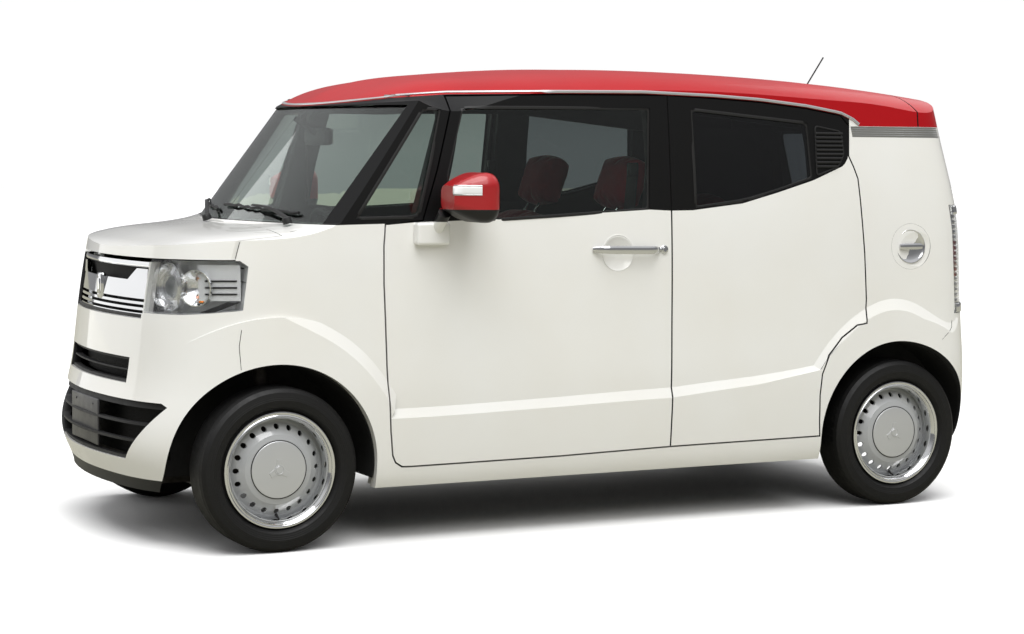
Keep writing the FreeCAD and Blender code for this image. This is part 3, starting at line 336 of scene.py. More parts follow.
finish_of = {
    "underbody": under_coat, "body_shell": ivory_upper, "roof_panel": red, "front_wings": ivory,
    "front_bumper": lip_ivory, "front_grille": chrome, "headlamps": lamp_cover, "rear_bumper": ivory,
    "tail_lamps": lamp_cover, "fixed_glazing": clear_pane, "trim_black": black_plastic,
    "dashboard": cabin_plastic, "front_seats": cloth, "rear_seat": cloth, "power_unit": iron,
    "front_suspension": iron, "rear_axle": iron, "exhaust": pipe_steel, "fuel_tank": under_coat,
    "side_mouldings": strip, "tailgate": ivory, "tailgate_spoiler": red, "tailgate_glass": dark_pane,
    "bonnet": ivory, "fuel_lid": ivory, "knuckle_left": iron, "knuckle_right": iron,
    "mirror_left": mirror_finish(), "mirror_right": mirror_finish(),
}
for end, x in ENDS:
    for side, s in SIDES:
        finish_of[f"door_{end}_{side}"] = ivory_upper
        finish_of[f"glass_{end}_{side}"] = dark_pane if end == "rear" else clear_pane
        finish_of[f"tyre_{end}_{side}"] = tread_of[end]
        finish_of[f"rim_{end}_{side}"] = wheel_silver
for name, made in finish_of.items():
    mesh = nodes[name].data
    mesh.materials.clear()
    mesh.materials.append(made)


# Mesh building
def piece(name, bm, finishes, body, angle=35):
    """A finished object from a bmesh; faces keep the index of their finish."""
    bmesh.ops.remove_doubles(bm, verts=bm.verts, dist=1e-5)
    bmesh.ops.recalc_face_normals(bm, faces=bm.faces)
    for face in bm.faces:
        face.smooth = True
    for edge in bm.edges:
        if len(edge.link_faces) == 2 and edge.calc_face_angle(0) > math.radians(angle):
            edge.smooth = False
    mesh = bpy.data.meshes.new(name)
    bm.to_mesh(mesh)
    bm.free()
    for made in finishes:
        mesh.materials.append(made)
    obj = bpy.data.objects.new(name, mesh)
    scene.collection.objects.link(obj)
    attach(obj, body)
    return obj


def skin_rows(bm, rows, index=0, closed=False, capped=False):
    """Faces between rows of points; closed joins each row end to end."""
    made = [[bm.verts.new(p) for p in row] for row in rows]
    count = len(made[0])
    for a, b in zip(made, made[1:]):
        for i in range(count if closed else count - 1):
            j = (i + 1) % count
            bm.faces.new((a[i], a[j], b[j], b[i])).material_index = index
    if capped:
        for row in (made[0], made[-1]):
            bm.faces.new(row).material_index = index


def lathe(bm, centre, axis, rows, count=48, index=0):
    """Rows of (radius, along) turned about an axis."""
    axis = Vector(axis).normalized()
    side = axis.orthogonal().normalized()
    other = axis.cross(side)
    least = 1e-6
    ring = [FULL_TURN * k / count for k in range(count)]
    points = [[Vector(centre) + axis * along + (side * math.cos(t) + other * math.sin(t)) * max(radius, least)
               for t in ring] for radius, along in rows]
    skin_rows(bm, points, index, closed=True)


def sweep(bm, points, ups, section, index=0, closed=False, scales=None):
    """A section (side, up) carried along points, with an up direction at each."""
    rows = []
    count = len(points)
    for i, point in enumerate(points):
        after = points[(i + 1) % count] if closed or i + 1 < count else point
        before = points[i - 1] if closed or i else point
        ahead = (after - before).normalized()
        up = (ups[i] - ahead * ups[i].dot(ahead)).normalized()
        side = ahead.cross(up)
        k = scales[i] if scales else 1
        rows.append([point + side * a * k + up * b * k for a, b in section])
    if closed:
        rows.append(rows[0])
    skin_rows(bm, rows, index, closed=True, capped=not closed)


def ring_section(wide, high, count=10, power=0.7):
    """A rounded bar section with its foot at up = 0."""
    section = []
    for k in range(count):
        t = FULL_TURN * k / count
        c, s = math.cos(t), math.sin(t)
        out = math.copysign(abs(c) ** power, c)
        up = math.copysign(abs(s) ** power, s) + 1
        section.append((out * wide / 2, up * high / 2))
    return section


def block(bm, low, high, round_by, index=0, segments=3):
    """A box with rounded edges between two corners."""
    low, high = Vector(low), Vector(high)
    place = Matrix.Translation((low + high) / 2) @ Matrix.Diagonal((*(high - low), 1))
    made = bmesh.ops.create_cube(bm, size=1, matrix=place)
    faces = set(f for v in made["verts"] for f in v.link_faces)
    edges = list(set(e for f in faces for e in f.edges))
    for face in faces:
        face.material_index = index
    done = bmesh.ops.bevel(bm, geom=edges, offset=round_by, segments=segments, affect="EDGES", profile=0.5)
    for face in done["faces"]:
        face.material_index = index


def thickened(bm, by):
    """A sheet given a thickness, its first side kept in place."""
    bmesh.ops.recalc_face_normals(bm, faces=bm.faces)
    bmesh.ops.solidify(bm, geom=bm.faces[:], thickness=by)


def dense(points, step, closed=False):
    """Points along a polyline, no further apart than a step."""
    made = []
    pairs = list(zip(points, points[1:] + points[:1])) if closed else list(zip(points, points[1:]))
    for a, b in pairs:
        a, b = Vector(a), Vector(b)
        n = max(1, math.ceil((b - a).length / step))
        made += [a.lerp(b, k / n) for k in range(n)]
    if not closed:
        made.append(Vector(points[-1]))
    return made


def rounded(points, radius, count=4):
    """A closed outline whose corners are turned into short curves of a few steps."""
    most = 0.45
    made = []
    for i, p in enumerate(points):
        p = Vector(p)
        a, b = Vector(points[i - 1]), Vector(points[(i + 1) % len(points)])
        start = p + (a - p).normalized() * min(radius, (a - p).length * most)
        end = p + (b - p).normalized() * min(radius, (b - p).length * most)
        for t in steps(0, 1, count + 1):
            made.append(start * (1 - t) ** 2 + p * 2 * t * (1 - t) + end * t * t)
    return made


trees = {}


def tree_of(name):
    """The search tree of a node's faces, built once."""
    if name not in trees:
        mesh = nodes[name].data
        trees[name] = BVHTree.FromPolygons([v.co for v in mesh.vertices], [p.vertices for p in mesh.polygons])
    return trees[name]


def land(names, start, way):
    """Where a ray first meets the named nodes, and the surface's direction there."""
    start, way = Vector(start), Vector(way).normalized()
    best = None
    for name in names:
        place, normal, _, far = tree_of(name).ray_cast(start, way)
        if place is not None and (best is None or far < best[2]):
            best = (place, normal if normal.dot(way) < 0 else -normal, far)
    return best and best[:2]


def on_side(names, x, z, side):
    """A point of the body side, reached level from outside."""
    return land(names, (x, side * 2, z), (0, -side, 0))


def on_nose(names, y, z):
    """A point of the front, reached level from ahead."""
    return land(names, (3, y, z), (-1, 0, 0))


def on_tail(names, y, z):
    """A point of the rear, reached level from behind."""
    return land(names, (-3, y, z), (1, 0, 0))


def sunk(spots, by=0.001):
    """Spots let into the surface a little; places where the ray met nothing are left out."""
    return [(p - n * by, n) for p, n in filter(None, spots)]


def strip_on(bm, spots, section, index=0, closed=False):
    """A section carried along surface spots (point, direction)."""
    sweep(bm, [p for p, n in spots], [n for p, n in spots], section, index, closed)


def steps(low, high, count):
    """Evenly spaced values from low to high."""
    return [low + (high - low) * k / (count - 1) for k in range(count)]


def band(name, spots, section, finishes, body, closed=False):
    """A strip of its own that lies on surface spots; places where the ray met nothing are left out."""
    bm = bmesh.new()
    strip_on(bm, [spot for spot in spots if spot], section, closed=closed)
    return piece(name, bm, finishes, body)


def fit(points):
    """Side-view points read from the photograph, in millimetres from mid wheelbase, as metres."""
    return [((x - MID_WHEELBASE) * MM, z * MM) for x, z in points]


# Half the width of a number plate's board.
PLATE_HALF = 0.165


# Finishes of the small parts
def metal_look(made, metallic, coat_rough):
    """A lacquer with metal flakes in it."""
    shader = made.node_tree.nodes["Principled BSDF"]
    shader.inputs["Metallic"].default_value = metallic
    shader.inputs["Coat Roughness"].default_value = coat_rough


def wire_mesh():
    """Black plastic mesh behind the grille, its cells about 9 mm wide."""
    made, tree, shader, place = finish("black_grille_mesh", Base_Color=linear("#030303"), Roughness=0.6,
                                       Specular_IOR_Level=0.12)
    cells = add(tree, "ShaderNodeTexVoronoi", {"Vector": place, "Scale": 1 / 0.009},
                feature="DISTANCE_TO_EDGE")
    bump(tree, shader, cells.outputs["Distance"], 0.8, 0.002)
    return made


satin_silver = enamel("satin_silver_lacquer", "#C9CACB", "#C2C4C6")
metal_look(satin_silver, 0.55, 0.2)
dark_chrome = plated("satin_lamp_chrome", "#D2D5D7", 0.22)
bright_strip = plated("satin_bright_strip", "#E4E5E6", 0.3)
silvered = enamel("silvered_lamp_inside", "#DFE1E2", "#D6D8DA")
metal_look(silvered, 0.35, 0.035)
lamp_white = moulded_plastic("white_lamp_diffuser", "#E6E8E8", 0.35, 0.001)
amber = pane_glass("amber_polycarbonate", "#F08A18")
ruby = pane_glass("red_polycarbonate", "#B4121A")
silvering = plated("mirror_silvering", "#E4E6E7", 0.01)
webbing = woven_cloth("seat_belt_webbing", "#1A1A1B", "#2A2A2B", 0.0016)
gasket = moulded_plastic("rubber_seal", "#0B0B0B", 0.6, 0.001)
plate_grey = moulded_plastic("dark_plate_board", "#3A3A3C", 0.4, 0.0008)
lens_glass = pane_glass("projector_lens_glass", "#E9F0F2")
screen_black = plated("dark_display_glass", "#08090A", 0.08)
mesh_black = wire_mesh()


# Wheels
# Turned outlines of the wheel's trim: radius, distance out from the wheel's middle.
RING_BEAD = [(0.1885, 0.0655), (0.1925, 0.0665), (0.1965, 0.0655), (0.1972, 0.0635), (0.1945, 0.0645)]
RING_WALL = [(0.1885, 0.0655), (0.1868, 0.0640), (0.1855, 0.0655), (0.1830, 0.0662), (0.1770, 0.0600),
             (0.1715, 0.0500), (0.1685, 0.0380), (0.1678, 0.0260), (0.1690, 0.0150), (0.1712, 0.0150)]
CAP_DISC = [(0, 0.0565), (0.03, 0.0562), (0.06, 0.0552), (0.085, 0.0538), (0.0945, 0.0528),
            (0.0965, 0.0515)]
CAP_BOSS = [(0.0, 0.0588), (0.012, 0.0588), (0.0135, 0.0575), (0.0145, 0.0586), (0.0165, 0.0586),
            (0.0178, 0.0560)]
CAP_SEAL = [(0.0966, 0.0490), (0.0968, 0.0520), (0.0990, 0.0520), (0.0995, 0.0488)]
VALVE = [(0.0, 0.026), (0.0035, 0.026), (0.004, 0.018), (0.0045, 0.004), (0.006, -0.004)]
# One arm of the boss, seen from outside: outwards, across.
CAP_ARM = [(0.012, 0.0125), (0.030, 0.0085), (0.036, 0.0085), (0.036, -0.0085), (0.030, -0.0085),
           (0.012, -0.0125)]
ARM_TOP, ARM_FOOT = 0.0574, 0.0540


def wheel_dress():
    """Trim ring, cap with a bare three-armed boss, cap seal and valve of each wheel."""
    for end, x in ENDS:
        for side, s in SIDES:
            body = f"wheel_{end}_{side}"
            centre, axis = Vector((x, s * HALF_TRACK, AXLE_Z)), Vector((0, s, 0))
            bm = bmesh.new()
            lathe(bm, centre, axis, RING_BEAD, 72)
            lathe(bm, centre, axis, RING_WALL, 72)
            piece(f"trim_ring_{end}_{side}", bm, [chrome], body)
            bm = bmesh.new()
            lathe(bm, centre, axis, CAP_DISC, 64)
            lathe(bm, centre, axis, CAP_BOSS, 40)
            for turn in (math.radians(90 + 120 * k) for k in range(3)):
                way = Vector((math.cos(turn), 0, math.sin(turn)))
                across = Vector((-math.sin(turn), 0, math.cos(turn)))
                top = [centre + way * a + across * b + axis * ARM_TOP for a, b in CAP_ARM]
                foot = [centre + way * (a * 1.03) + across * (b * 1.12) + axis * ARM_FOOT for a, b in CAP_ARM]
                skin_rows(bm, [foot, top], closed=True)
                bm.faces.new([bm.verts.new(p) for p in top])
            piece(f"wheel_cap_{end}_{side}", bm, [satin_silver], body, 25)
            bm = bmesh.new()
            lathe(bm, centre, axis, CAP_SEAL, 64)
            lathe(bm, centre + Vector((0, s * 0.028, -0.158)), (0, s, -0.35), VALVE, 12)
            piece(f"cap_seal_{end}_{side}", bm, [gasket], body)


wheel_dress()


# Roof edge strips
EDGE = fit([(1200, 1470), (915, 1507), (780, 1531), (596, 1546), (189, 1554), (-152, 1559), (-443, 1551),
            (-643, 1540), (-848, 1520), (-1005, 1496), (-1060, 1474), (-1090, 1453)])


def edge_z(x):
    """Height of the roof's lower edge along the car."""
    for (x0, z0), (x1, z1) in zip(EDGE, EDGE[1:]):
        if x1 <= x <= x0:
            return z0 + (z1 - z0) * (x - x0) / (x1 - x0)


def header_x(y):
    """Where the roof's front edge meets the windscreen."""
    low, high = 0.55, 1.15
    for _ in range(24):
        mid = (low + high) / 2
        spot = land(("roof_panel", "fixed_glazing", "body_shell"), (mid, y, 2), (0, 0, -1))
        if spot and spot[0].z > edge_z(mid):
            low = mid
        else:
            high = mid
    return low


def roof_strips():
    """Satin bright strips along the roof's lower edge and over the windscreen."""
    rear_end, front_end, half_header = -1.134, 0.735, 0.60
    for side, s in SIDES:
        spots = [on_side(("roof_panel",), x, edge_z(x) + 0.007, s) for x in steps(rear_end, front_end, 70)]
        for y in steps(half_header, 0, 13):
            spots.append(land(("roof_panel",), (header_x(s * y) - 0.008, s * y, 2), (0, 0, -1)))
        band(f"roof_strip_{side}", spots, ring_section(0.011, 0.0045), [bright_strip], "car")


roof_strips()


# Window seals
def window_seals():
    """Rubber round the side windows, carried by the door or the pillar that holds the pane."""
    loops = {
        "front": ([(576, 1499), (644, 1267), (639, 1128), (450, 1111), (-157, 1142), (-174, 1508)],
                  ("door_front_{}", "glass_front_{}"), "front_door_{}"),
        "rear": ([(-347, 1506), (-851, 1462), (-866, 1256), (-719, 1213), (-568, 1176), (-353, 1147)],
                 ("door_rear_{}", "glass_rear_{}"), "rear_door_{}"),
        "quarter": ([(725, 1492), (655, 1492), (756, 1122), (985, 1118)],
                    ("body_shell", "fixed_glazing"), "car"),
    }
    corner, step = 0.022, 0.03
    for which, (outline, carriers, body) in loops.items():
        path = dense(rounded([(x, 0, z) for x, z in fit(outline)], corner), step, closed=True)
        for side, s in SIDES:
            names = [c.format(side) for c in carriers]
            spots = sunk([on_side(names, p.x, p.z, s) for p in path])
            band(f"seal_{which}_{side}", spots, ring_section(0.012, 0.0035), [gasket], body.format(side),
                 closed=True)


window_seals()


# Door handles
def bar(bm, points, up, wide, high, taper=0.55):
    """A grip whose ends draw in."""
    scales = [1 - (1 - taper) * abs(t) ** 6 for t in steps(-1, 1, len(points))]
    section = [(a, b - high / 2) for a, b in ring_section(wide, high, 14)]
    sweep(bm, points, [up] * len(points), section, scales=scales)


def circle_on(names, x, z, radius, count, side):
    """Spots of the body side in a circle."""
    turns = [FULL_TURN * k / count for k in range(count)]
    return [on_side(names, x + radius * math.cos(t), z + radius * math.sin(t), side) for t in turns]


def front_handles():
    """The chromed grip that stands off the front door, its lock and the rim of the finger cup."""
    front, long, height, drop, stand_off = 0.0335, 0.278, 1.0015, 0.004, 0.034
    cup_x, cup_z, cup_radius = -0.0715, 0.989, 0.0640
    lock_turn = [(0, 0.010), (0.008, 0.010), (0.009, 0.0085), (0.0135, 0.008), (0.0155, 0.006), (0.017, 0)]
    for side, s in SIDES:
        door = (f"door_front_{side}",)
        bm = bmesh.new()
        skin_y = on_side(door, 0.06, 1.0, s)[0].y
        points = []
        for t in steps(0, 1, 17):
            stand = stand_off * min(1, math.sin(math.pi * min(max(t, 0.02), 0.98)) * 2.2)
            points.append(Vector((front - t * long, skin_y + s * (stand - 0.001), height - t * drop)))
        bar(bm, points, Vector((0, s, 0)), 0.030, 0.015)
        piece(f"handle_{side}", bm, [chrome], f"front_door_{side}")
        bm = bmesh.new()
        spot = on_side(door, -0.262, 0.998, s)
        lathe(bm, spot[0] - spot[1] * 0.002, spot[1], lock_turn, 28)
        piece(f"lock_{side}", bm, [chrome], f"front_door_{side}")
        cup = circle_on(door, cup_x, cup_z, cup_radius, 40, s)
        band(f"cup_rim_{side}", sunk(cup, 0.0008), ring_section(0.005, 0.0018), [ivory], f"front_door_{side}",
             closed=True)


front_handles()


def rear_handles():
    """The ribbed black pull hidden behind the rear window."""
    outline = fit([(-884, 1452), (-1002, 1432), (-1012, 1345), (-985, 1300), (-884, 1266)])
    rib_low, rib_pitch, rib_count, short_above = 1.300, 0.0155, 9, 1.43
    for side, s in SIDES:
        door = (f"door_rear_{side}",)
        bm = bmesh.new()
        for k in range(rib_count):
            z = rib_low + k * rib_pitch
            row = [-0.9285, -0.972, -1.018, -1.052 + max(0, 1.335 - z) * 0.9]
            if z > short_above:
                row = row[:3]
            spots = sunk([on_side(door, p.x, z, s) for p in dense([(x, 0, z) for x in row], 0.02)], 0.0005)
            if len(spots) > 2:
                strip_on(bm, spots, ring_section(0.009, 0.007))
        loop = rounded([(x, 0, z) for x, z in outline], 0.015)
        spots = sunk([on_side(door, p.x, p.z, s) for p in dense(loop, 0.02, closed=True)], 0.0008)
        strip_on(bm, spots, ring_section(0.006, 0.004), closed=True)
        piece(f"rear_pull_{side}", bm, [black_plastic], f"rear_door_{side}")


rear_handles()


# Fuel lid
def lid_dish():
    """The chromed dish of the fuel lid with its grip across."""
    lid_x, lid_z, rim_radius, half_grip = -1.3585, 0.995, 0.063, 0.052
    dish = [(0, -0.0056), (0.03, -0.0045), (0.05, -0.002), (0.058, 0.0004), (0.0605, 0.0022),
            (0.0635, 0.0026), (0.0655, 0.0012), (0.066, -0.0008)]
    rim = circle_on(("fuel_lid",), lid_x, lid_z, rim_radius, 56, 1)
    normal = sum((n for p, n in rim), Vector()).normalized()
    centre = sum((p for p, n in rim), Vector()) / len(rim)
    bm = bmesh.new()
    lathe(bm, centre, normal, dish, 64)
    points = [centre + Vector((x, 0, 0)) + normal * (0.0035 + 0.0040 * (1 - (x / 0.05) ** 2))
              for x in steps(-half_grip, half_grip, 15)]
    bar(bm, points, normal, 0.024, 0.010, 0.8)
    piece("fuel_lid_dish", bm, [chrome], "fuel_lid")


lid_dish()


# Front end
def backing(bm, names, half, level, behind, heights):
    """An upright sheet that follows the nose's curve at one level, a little behind it."""
    across = steps(-half, half, 33)
    depths = [on_nose(names, y, level)[0].x - behind for y in across]
    skin_rows(bm, [[Vector((x, y, z)) for x, y in zip(depths, across)] for z in heights])


def nose_dress():
    """Backing meshes, bars, wings and boss of the grille, and the bare plate board below it."""
    carriers = ("front_grille", "front_bumper", "bonnet", "headlamps")
    bm = bmesh.new()
    backing(bm, carriers, 0.385, 0.88, 0.030, (0.782, 0.86, 0.954))
    piece("grille_backing", bm, [mesh_black], "car")
    bm = bmesh.new()
    backing(bm, ("front_bumper",), 0.34, 0.66, 0.045, (0.556, 0.637))
    backing(bm, ("front_bumper",), 0.52, 0.53, 0.045, (0.305, 0.488))
    piece("intake_backing", bm, [mesh_black], "car")
    bars = (("grille_top_bar", 0.9560, 0.0184, chrome, "chrome"),
            ("grille_foot_seal", 0.7815, 0.0128, gasket, "black_trim"))
    for name, z, wide, made, slot in bars:
        spots = [on_nose(carriers, y, z) for y in steps(-0.386, 0.386, 41)]
        band(name, sunk(spots), ring_section(wide, 0.006), [made], "car")
    wing_low, wing_high, wing_end, wing_thick = 0.899, 0.941, 0.384, 0.003
    for side, s in SIDES:
        bm = bmesh.new()
        rows = []
        for z, inner in zip(steps(wing_low, wing_high, 4), steps(0.245, 0.310, 4)):
            recess = 0.004 + 0.10 * (z - wing_low)
            row = [s * y for y in steps(inner, wing_end, 9)]
            rows.append([Vector((on_nose(carriers, y, 0.86)[0].x - recess, y, z)) for y in row])
        skin_rows(bm, rows)
        thickened(bm, wing_thick)
        piece(f"grille_wing_{side}", bm, [chrome], "car")
    bm = bmesh.new()
    x = on_nose(carriers, 0.0, 0.87)[0].x
    block(bm, (x - 0.010, -0.030, 0.818), (x + 0.010, 0.030, 0.912), 0.009)
    block(bm, (x + 0.004, -0.019, 0.834), (x + 0.0135, 0.019, 0.896), 0.007)
    piece("grille_boss", bm, [chrome], "car")
    bm = bmesh.new()
    x = on_nose(("front_bumper",), 0.0, 0.51)[0].x
    block(bm, (x - 0.004, -PLATE_HALF, 0.318), (x + 0.004, PLATE_HALF, 0.480), 0.0035)
    for y in (-0.105, 0.105):
        lathe(bm, (x + 0.003, y, 0.460), (1, 0, 0), [(0, 0.0035), (0.004, 0.0033), (0.0052, 0.001)], 16)
    piece("front_plate_board", bm, [plate_grey], "car")


nose_dress()


# Lamps
def split_lamp(node, heart, level, inset):
    """The solid lamp's outer faces as one sheet, its other faces as the housing."""
    mesh = nodes[node].data
    lens, shell = bmesh.new(), bmesh.new()
    for poly in mesh.polygons:
        mid, n = poly.center, poly.normal
        s = 1 if mid.y > 0 else -1
        out = n.x * (mid.x - heart[0]) + n.y * (mid.y - s * heart[1])
        skin = abs(n.z) < level and out > inset
        bm = lens if skin else shell
        bm.faces.new([bm.verts.new(mesh.vertices[i].co) for i in poly.vertices])
    for bm in (lens, shell):
        bmesh.ops.remove_doubles(bm, verts=bm.verts, dist=2e-5)
    return lens, shell


COVER_THICK = 0.0022
# Turned outlines inside the headlamp: radius, distance ahead of the lamp's own centre.
PROJECTOR_RING = [(0.030, -0.004), (0.036, 0.008), (0.044, 0.012), (0.050, 0.011), (0.056, 0.006),
                  (0.066, 0.004), (0.074, 0.012), (0.079, 0.020), (0.082, 0.018), (0.082, -0.004)]
PROJECTOR_LENS = [(0.036, 0.004), (0.030, 0.016), (0.020, 0.024), (0.010, 0.028), (0, 0.0292)]
SIDE_BOWL = [(0.012, -0.010), (0.030, 0.000), (0.046, 0.016), (0.058, 0.030), (0.062, 0.030), (0.062, 0.020)]
SIDE_BULB = [(0.011, -0.006), (0.012, 0.008), (0.008, 0.018), (0, 0.021)]


def headlamp_pieces():
    """Lens and silvered housing from the solid; projector, side lamp, plates and slats within."""
    lens, shell = split_lamp("headlamps", (1.30, 0.50), 0.35, 0.012)
    thickened(lens, COVER_THICK)
    obj = piece("headlamp_lens", lens, [lamp_cover], "car")
    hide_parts("headlamps")
    piece("headlamp_housing", shell, [silvered], "car")
    lamp = ("headlamps",)
    for side, s in SIDES:
        bm = bmesh.new()
        place = on_nose(lamp, s * 0.468, 0.885)[0] - Vector((0.052, 0, 0))
        aim = Vector((1, s * 0.22, 0))
        lathe(bm, place, aim, PROJECTOR_RING, 56, 0)
        lathe(bm, place, aim, PROJECTOR_LENS, 48, 1)
        place = on_nose(lamp, s * 0.570, 0.885)[0] - Vector((0.056, s * 0.004, 0))
        aim = Vector((1, s * 0.75, 0))
        lathe(bm, place, aim, SIDE_BOWL, 48, 0)
        for dz in (-0.030, 0.032):
            lathe(bm, place + Vector((0, 0, dz)), aim, SIDE_BULB, 20, 2)
        for index, deep, levels in ((4, 0.020, (0.846, 0.966)), (3, 0.018, (0.806, 0.842))):
            rows = [sunk([on_side(lamp, 1.338 + 0.011 * k, z, s) for k in range(13)], deep) for z in levels]
            count = min(len(row) for row in rows)
            skin_rows(bm, [[p for p, n in row[:count]] for row in rows], index)
        for z in (0.868, 0.890, 0.912):
            spots = sunk([on_side(lamp, 1.350 + 0.0125 * k, z, s) for k in range(9)], 0.0195)
            strip_on(bm, spots, ring_section(0.006, 0.003), 3)
        inside = [chrome, lens_glass, amber, cabin_plastic, silvered]
        piece(f"headlamp_optics_{side}", bm, inside, "car")


def round_tail(z, s, first, pitch, count):
    """Spots on the tail lamp at one height, round its rear corner; angles from straight out, in degrees."""
    heart = Vector((-1.56, s * 0.60, z))
    spots = []
    for t in range(count):
        angle = math.radians(first + t * pitch)
        way = Vector((-math.sin(angle), s * math.cos(angle), 0))
        spots.append(land(("tail_lamps",), heart + way * 0.4, -way))
    return [spot for spot in spots if spot]


def tail_lamp_pieces():
    """Lens and housing from the solid, with ribs behind the lens and plated caps at both ends."""
    lens, shell = split_lamp("tail_lamps", (-1.50, 0.50), 0.35, 0.006)
    thickened(lens, COVER_THICK)
    obj = piece("tail_lamp_lens", lens, [lamp_cover], "car")
    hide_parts("tail_lamps")
    piece("tail_lamp_housing", shell, [dark_chrome], "car")
    low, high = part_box("tail_lamps")
    rib_margin, rib_count, least = 0.045, 17, 4
    for side, s in SIDES:
        bm = bmesh.new()
        for k, z in enumerate(steps(low.z + rib_margin, high.z - rib_margin, rib_count)):
            spots = sunk([spot for spot in round_tail(z, s, 8, 9, 9) if spot[0].x > low.x + 0.001], 0.016)
            if len(spots) >= least:
                strip_on(bm, spots, ring_section(0.015, 0.007), 0 if 4 < k < 12 else 1)
        piece(f"tail_lamp_ribs_{side}", bm, [ruby, chrome], "car")
        bm = bmesh.new()
        for z in (low.z + 0.020, high.z - 0.020):
            spots = sunk(round_tail(z, s, 2, 7, 13), 0.0012)
            if len(spots) >= least:
                strip_on(bm, spots, ring_section(0.034, 0.006))
        piece(f"tail_lamp_caps_{side}", bm, [chrome], "car")


headlamp_pieces()
tail_lamp_pieces()


# Panel joints
def edge_between(here, there, start, end, target):
    """The spot where one panel ends and the next begins, on a fan of rays towards a target."""
    start, end, target = Vector(start), Vector(end), Vector(target)
    same, halvings = 1e-5, 16
    found = []
    for own, near, far in ((here, start, end), (there, end, start)):
        if not land((own,), near, target - near):
            return None
        for _ in range(halvings):
            mid = (near + far) / 2
            first = land((here, there), mid, target - mid)
            mine = land((own,), mid, target - mid)
            if mine and (mine[0] - first[0]).length < same:
                near = mid
            else:
                far = mid
        found.append(land((own,), near, target - near))
    return (found[0][0] + found[1][0]) / 2, found[0][1]


def panel_joints():
    """Dark strips in the joints of panels that meet flush."""
    # Name; panels; where the fan starts, ends and aims along the car; heights; strip's width and depth.
    joints = (
        ("wing_foot", "front_bumper", "front_wings",
         (1.42, 1.30, 1.36), steps(0.618, 0.790, 14), 0.0026, 0.0012),
        ("bonnet_side", "bonnet", "front_wings",
         (1.46, 1.24, 1.35), steps(0.986, 1.040, 8), 0.0036, 0.0045),
        ("lamp_rear", "headlamps", "front_wings",
         (1.38, 1.26, 1.32), steps(0.806, 0.966, 12), 0.006, 0.0012),
        ("quarter_foot", "rear_bumper", "body_shell",
         (-1.63, -1.42, -1.52), steps(0.600, 0.728, 12), 0.0026, 0.0012),
    )
    for side, s in SIDES:
        for name, here, there, (start, end, aim), heights, wide, deep in joints:
            fans = [((start, 2 * s, z), (end, 2 * s, z), (aim, 0, z)) for z in heights]
            spots = [edge_between(here, there, *fan) for fan in fans]
            band(f"joint_{name}_{side}", sunk(spots, deep), ring_section(wide, 0.0016), [gasket], "car")


panel_joints()


# Windscreen
SCREEN = ("fixed_glazing",)


def wipers():
    """Two blades parked at the foot of the windscreen, each with its arm and pivot cap."""
    blade_z, blade_rise, blade_clear = 1.122, 0.020, 0.004
    arm_cap = [(0, 0.022), (0.012, 0.021), (0.016, 0.016), (0.017, 0.0)]
    search_from, search_to, search_step = 1.30, 0.9, 0.006
    for name, foot_y, tip_y in (("wiper_passenger", 0.50, -0.04), ("wiper_driver", -0.08, -0.60)):
        bm = bmesh.new()
        spots = []
        for share in steps(0, 1, 21):
            x = search_from
            spot = None
            while x > search_to:
                spot = land(SCREEN, (x, foot_y + (tip_y - foot_y) * share, 2), (0, 0, -1))
                if spot and spot[0].z > blade_z + blade_rise * share:
                    break
                x -= search_step
            spots.append((spot[0] + spot[1] * blade_clear, spot[1]))
        strip_on(bm, spots, ring_section(0.010, 0.011))
        start = spots[0][0] + Vector((0.055, 0.03, -0.022))
        mid = spots[10][0] + spots[10][1] * 0.018
        path = [start.lerp(mid, t) + Vector((0, 0, 0.012 * math.sin(math.pi * t))) for t in steps(0, 1, 11)]
        sweep(bm, path, [Vector((0.3, 0, 1))] * 11, ring_section(0.013, 0.008), scales=steps(1.3, 0.8, 11))
        lathe(bm, start - Vector((0, 0, 0.010)), (0.35, 0, 1), arm_cap, 20)
        piece(name, bm, [black_plastic], "car")


def cowl():
    """The ribbed plastic panel under the wipers, bowed back towards its ends."""
    half, front, deep, sheet = 0.63, 1.192, 0.135, 0.003
    bm = bmesh.new()
    rows = []
    for t in range(5):
        row = []
        for y in steps(-half, half, 41):
            x = front - deep * t / 4 - 0.045 * (y / half) ** 2
            row.append(Vector((x, y, 1.079 - 0.006 * (y / 0.6) ** 2 + 0.006 * (t % 2))))
        rows.append(row)
    skin_rows(bm, rows)
    thickened(bm, sheet)
    piece("cowl_panel", bm, [black_plastic], "car")


def inner_mirror():
    """The mirror inside the windscreen, on its short arm."""
    heart = Vector((0.800, 0.0, 1.395))
    bm = bmesh.new()
    block(bm, heart + Vector((-0.018, -0.115, -0.032)), heart + Vector((0.012, 0.115, 0.032)), 0.014, 0)
    block(bm, heart + Vector((-0.0195, -0.108, -0.026)), heart + Vector((-0.0170, 0.108, 0.026)), 0.001, 1)
    top = land(SCREEN, (0.9, 0, 1.46), (-0.2, 0, 0.001)) or land(SCREEN, (2, 0, 1.45), (-1, 0, 0))
    arm = [heart + Vector((0.005, 0, 0.01)), top[0] - Vector((0.006, 0, 0))]
    sweep(bm, arm, [Vector((0, 1, 0))] * 2, ring_section(0.020, 0.014), 0)
    piece("inner_mirror", bm, [cabin_plastic, silvering], "car")


wipers()
cowl()
inner_mirror()


# Door mirrors
def plate(bm, outline, depth, index=0):
    """A flat plate: an outline pushed along a direction."""
    skin_rows(bm, [outline, [p + Vector(depth) for p in outline]], index, closed=True, capped=True)


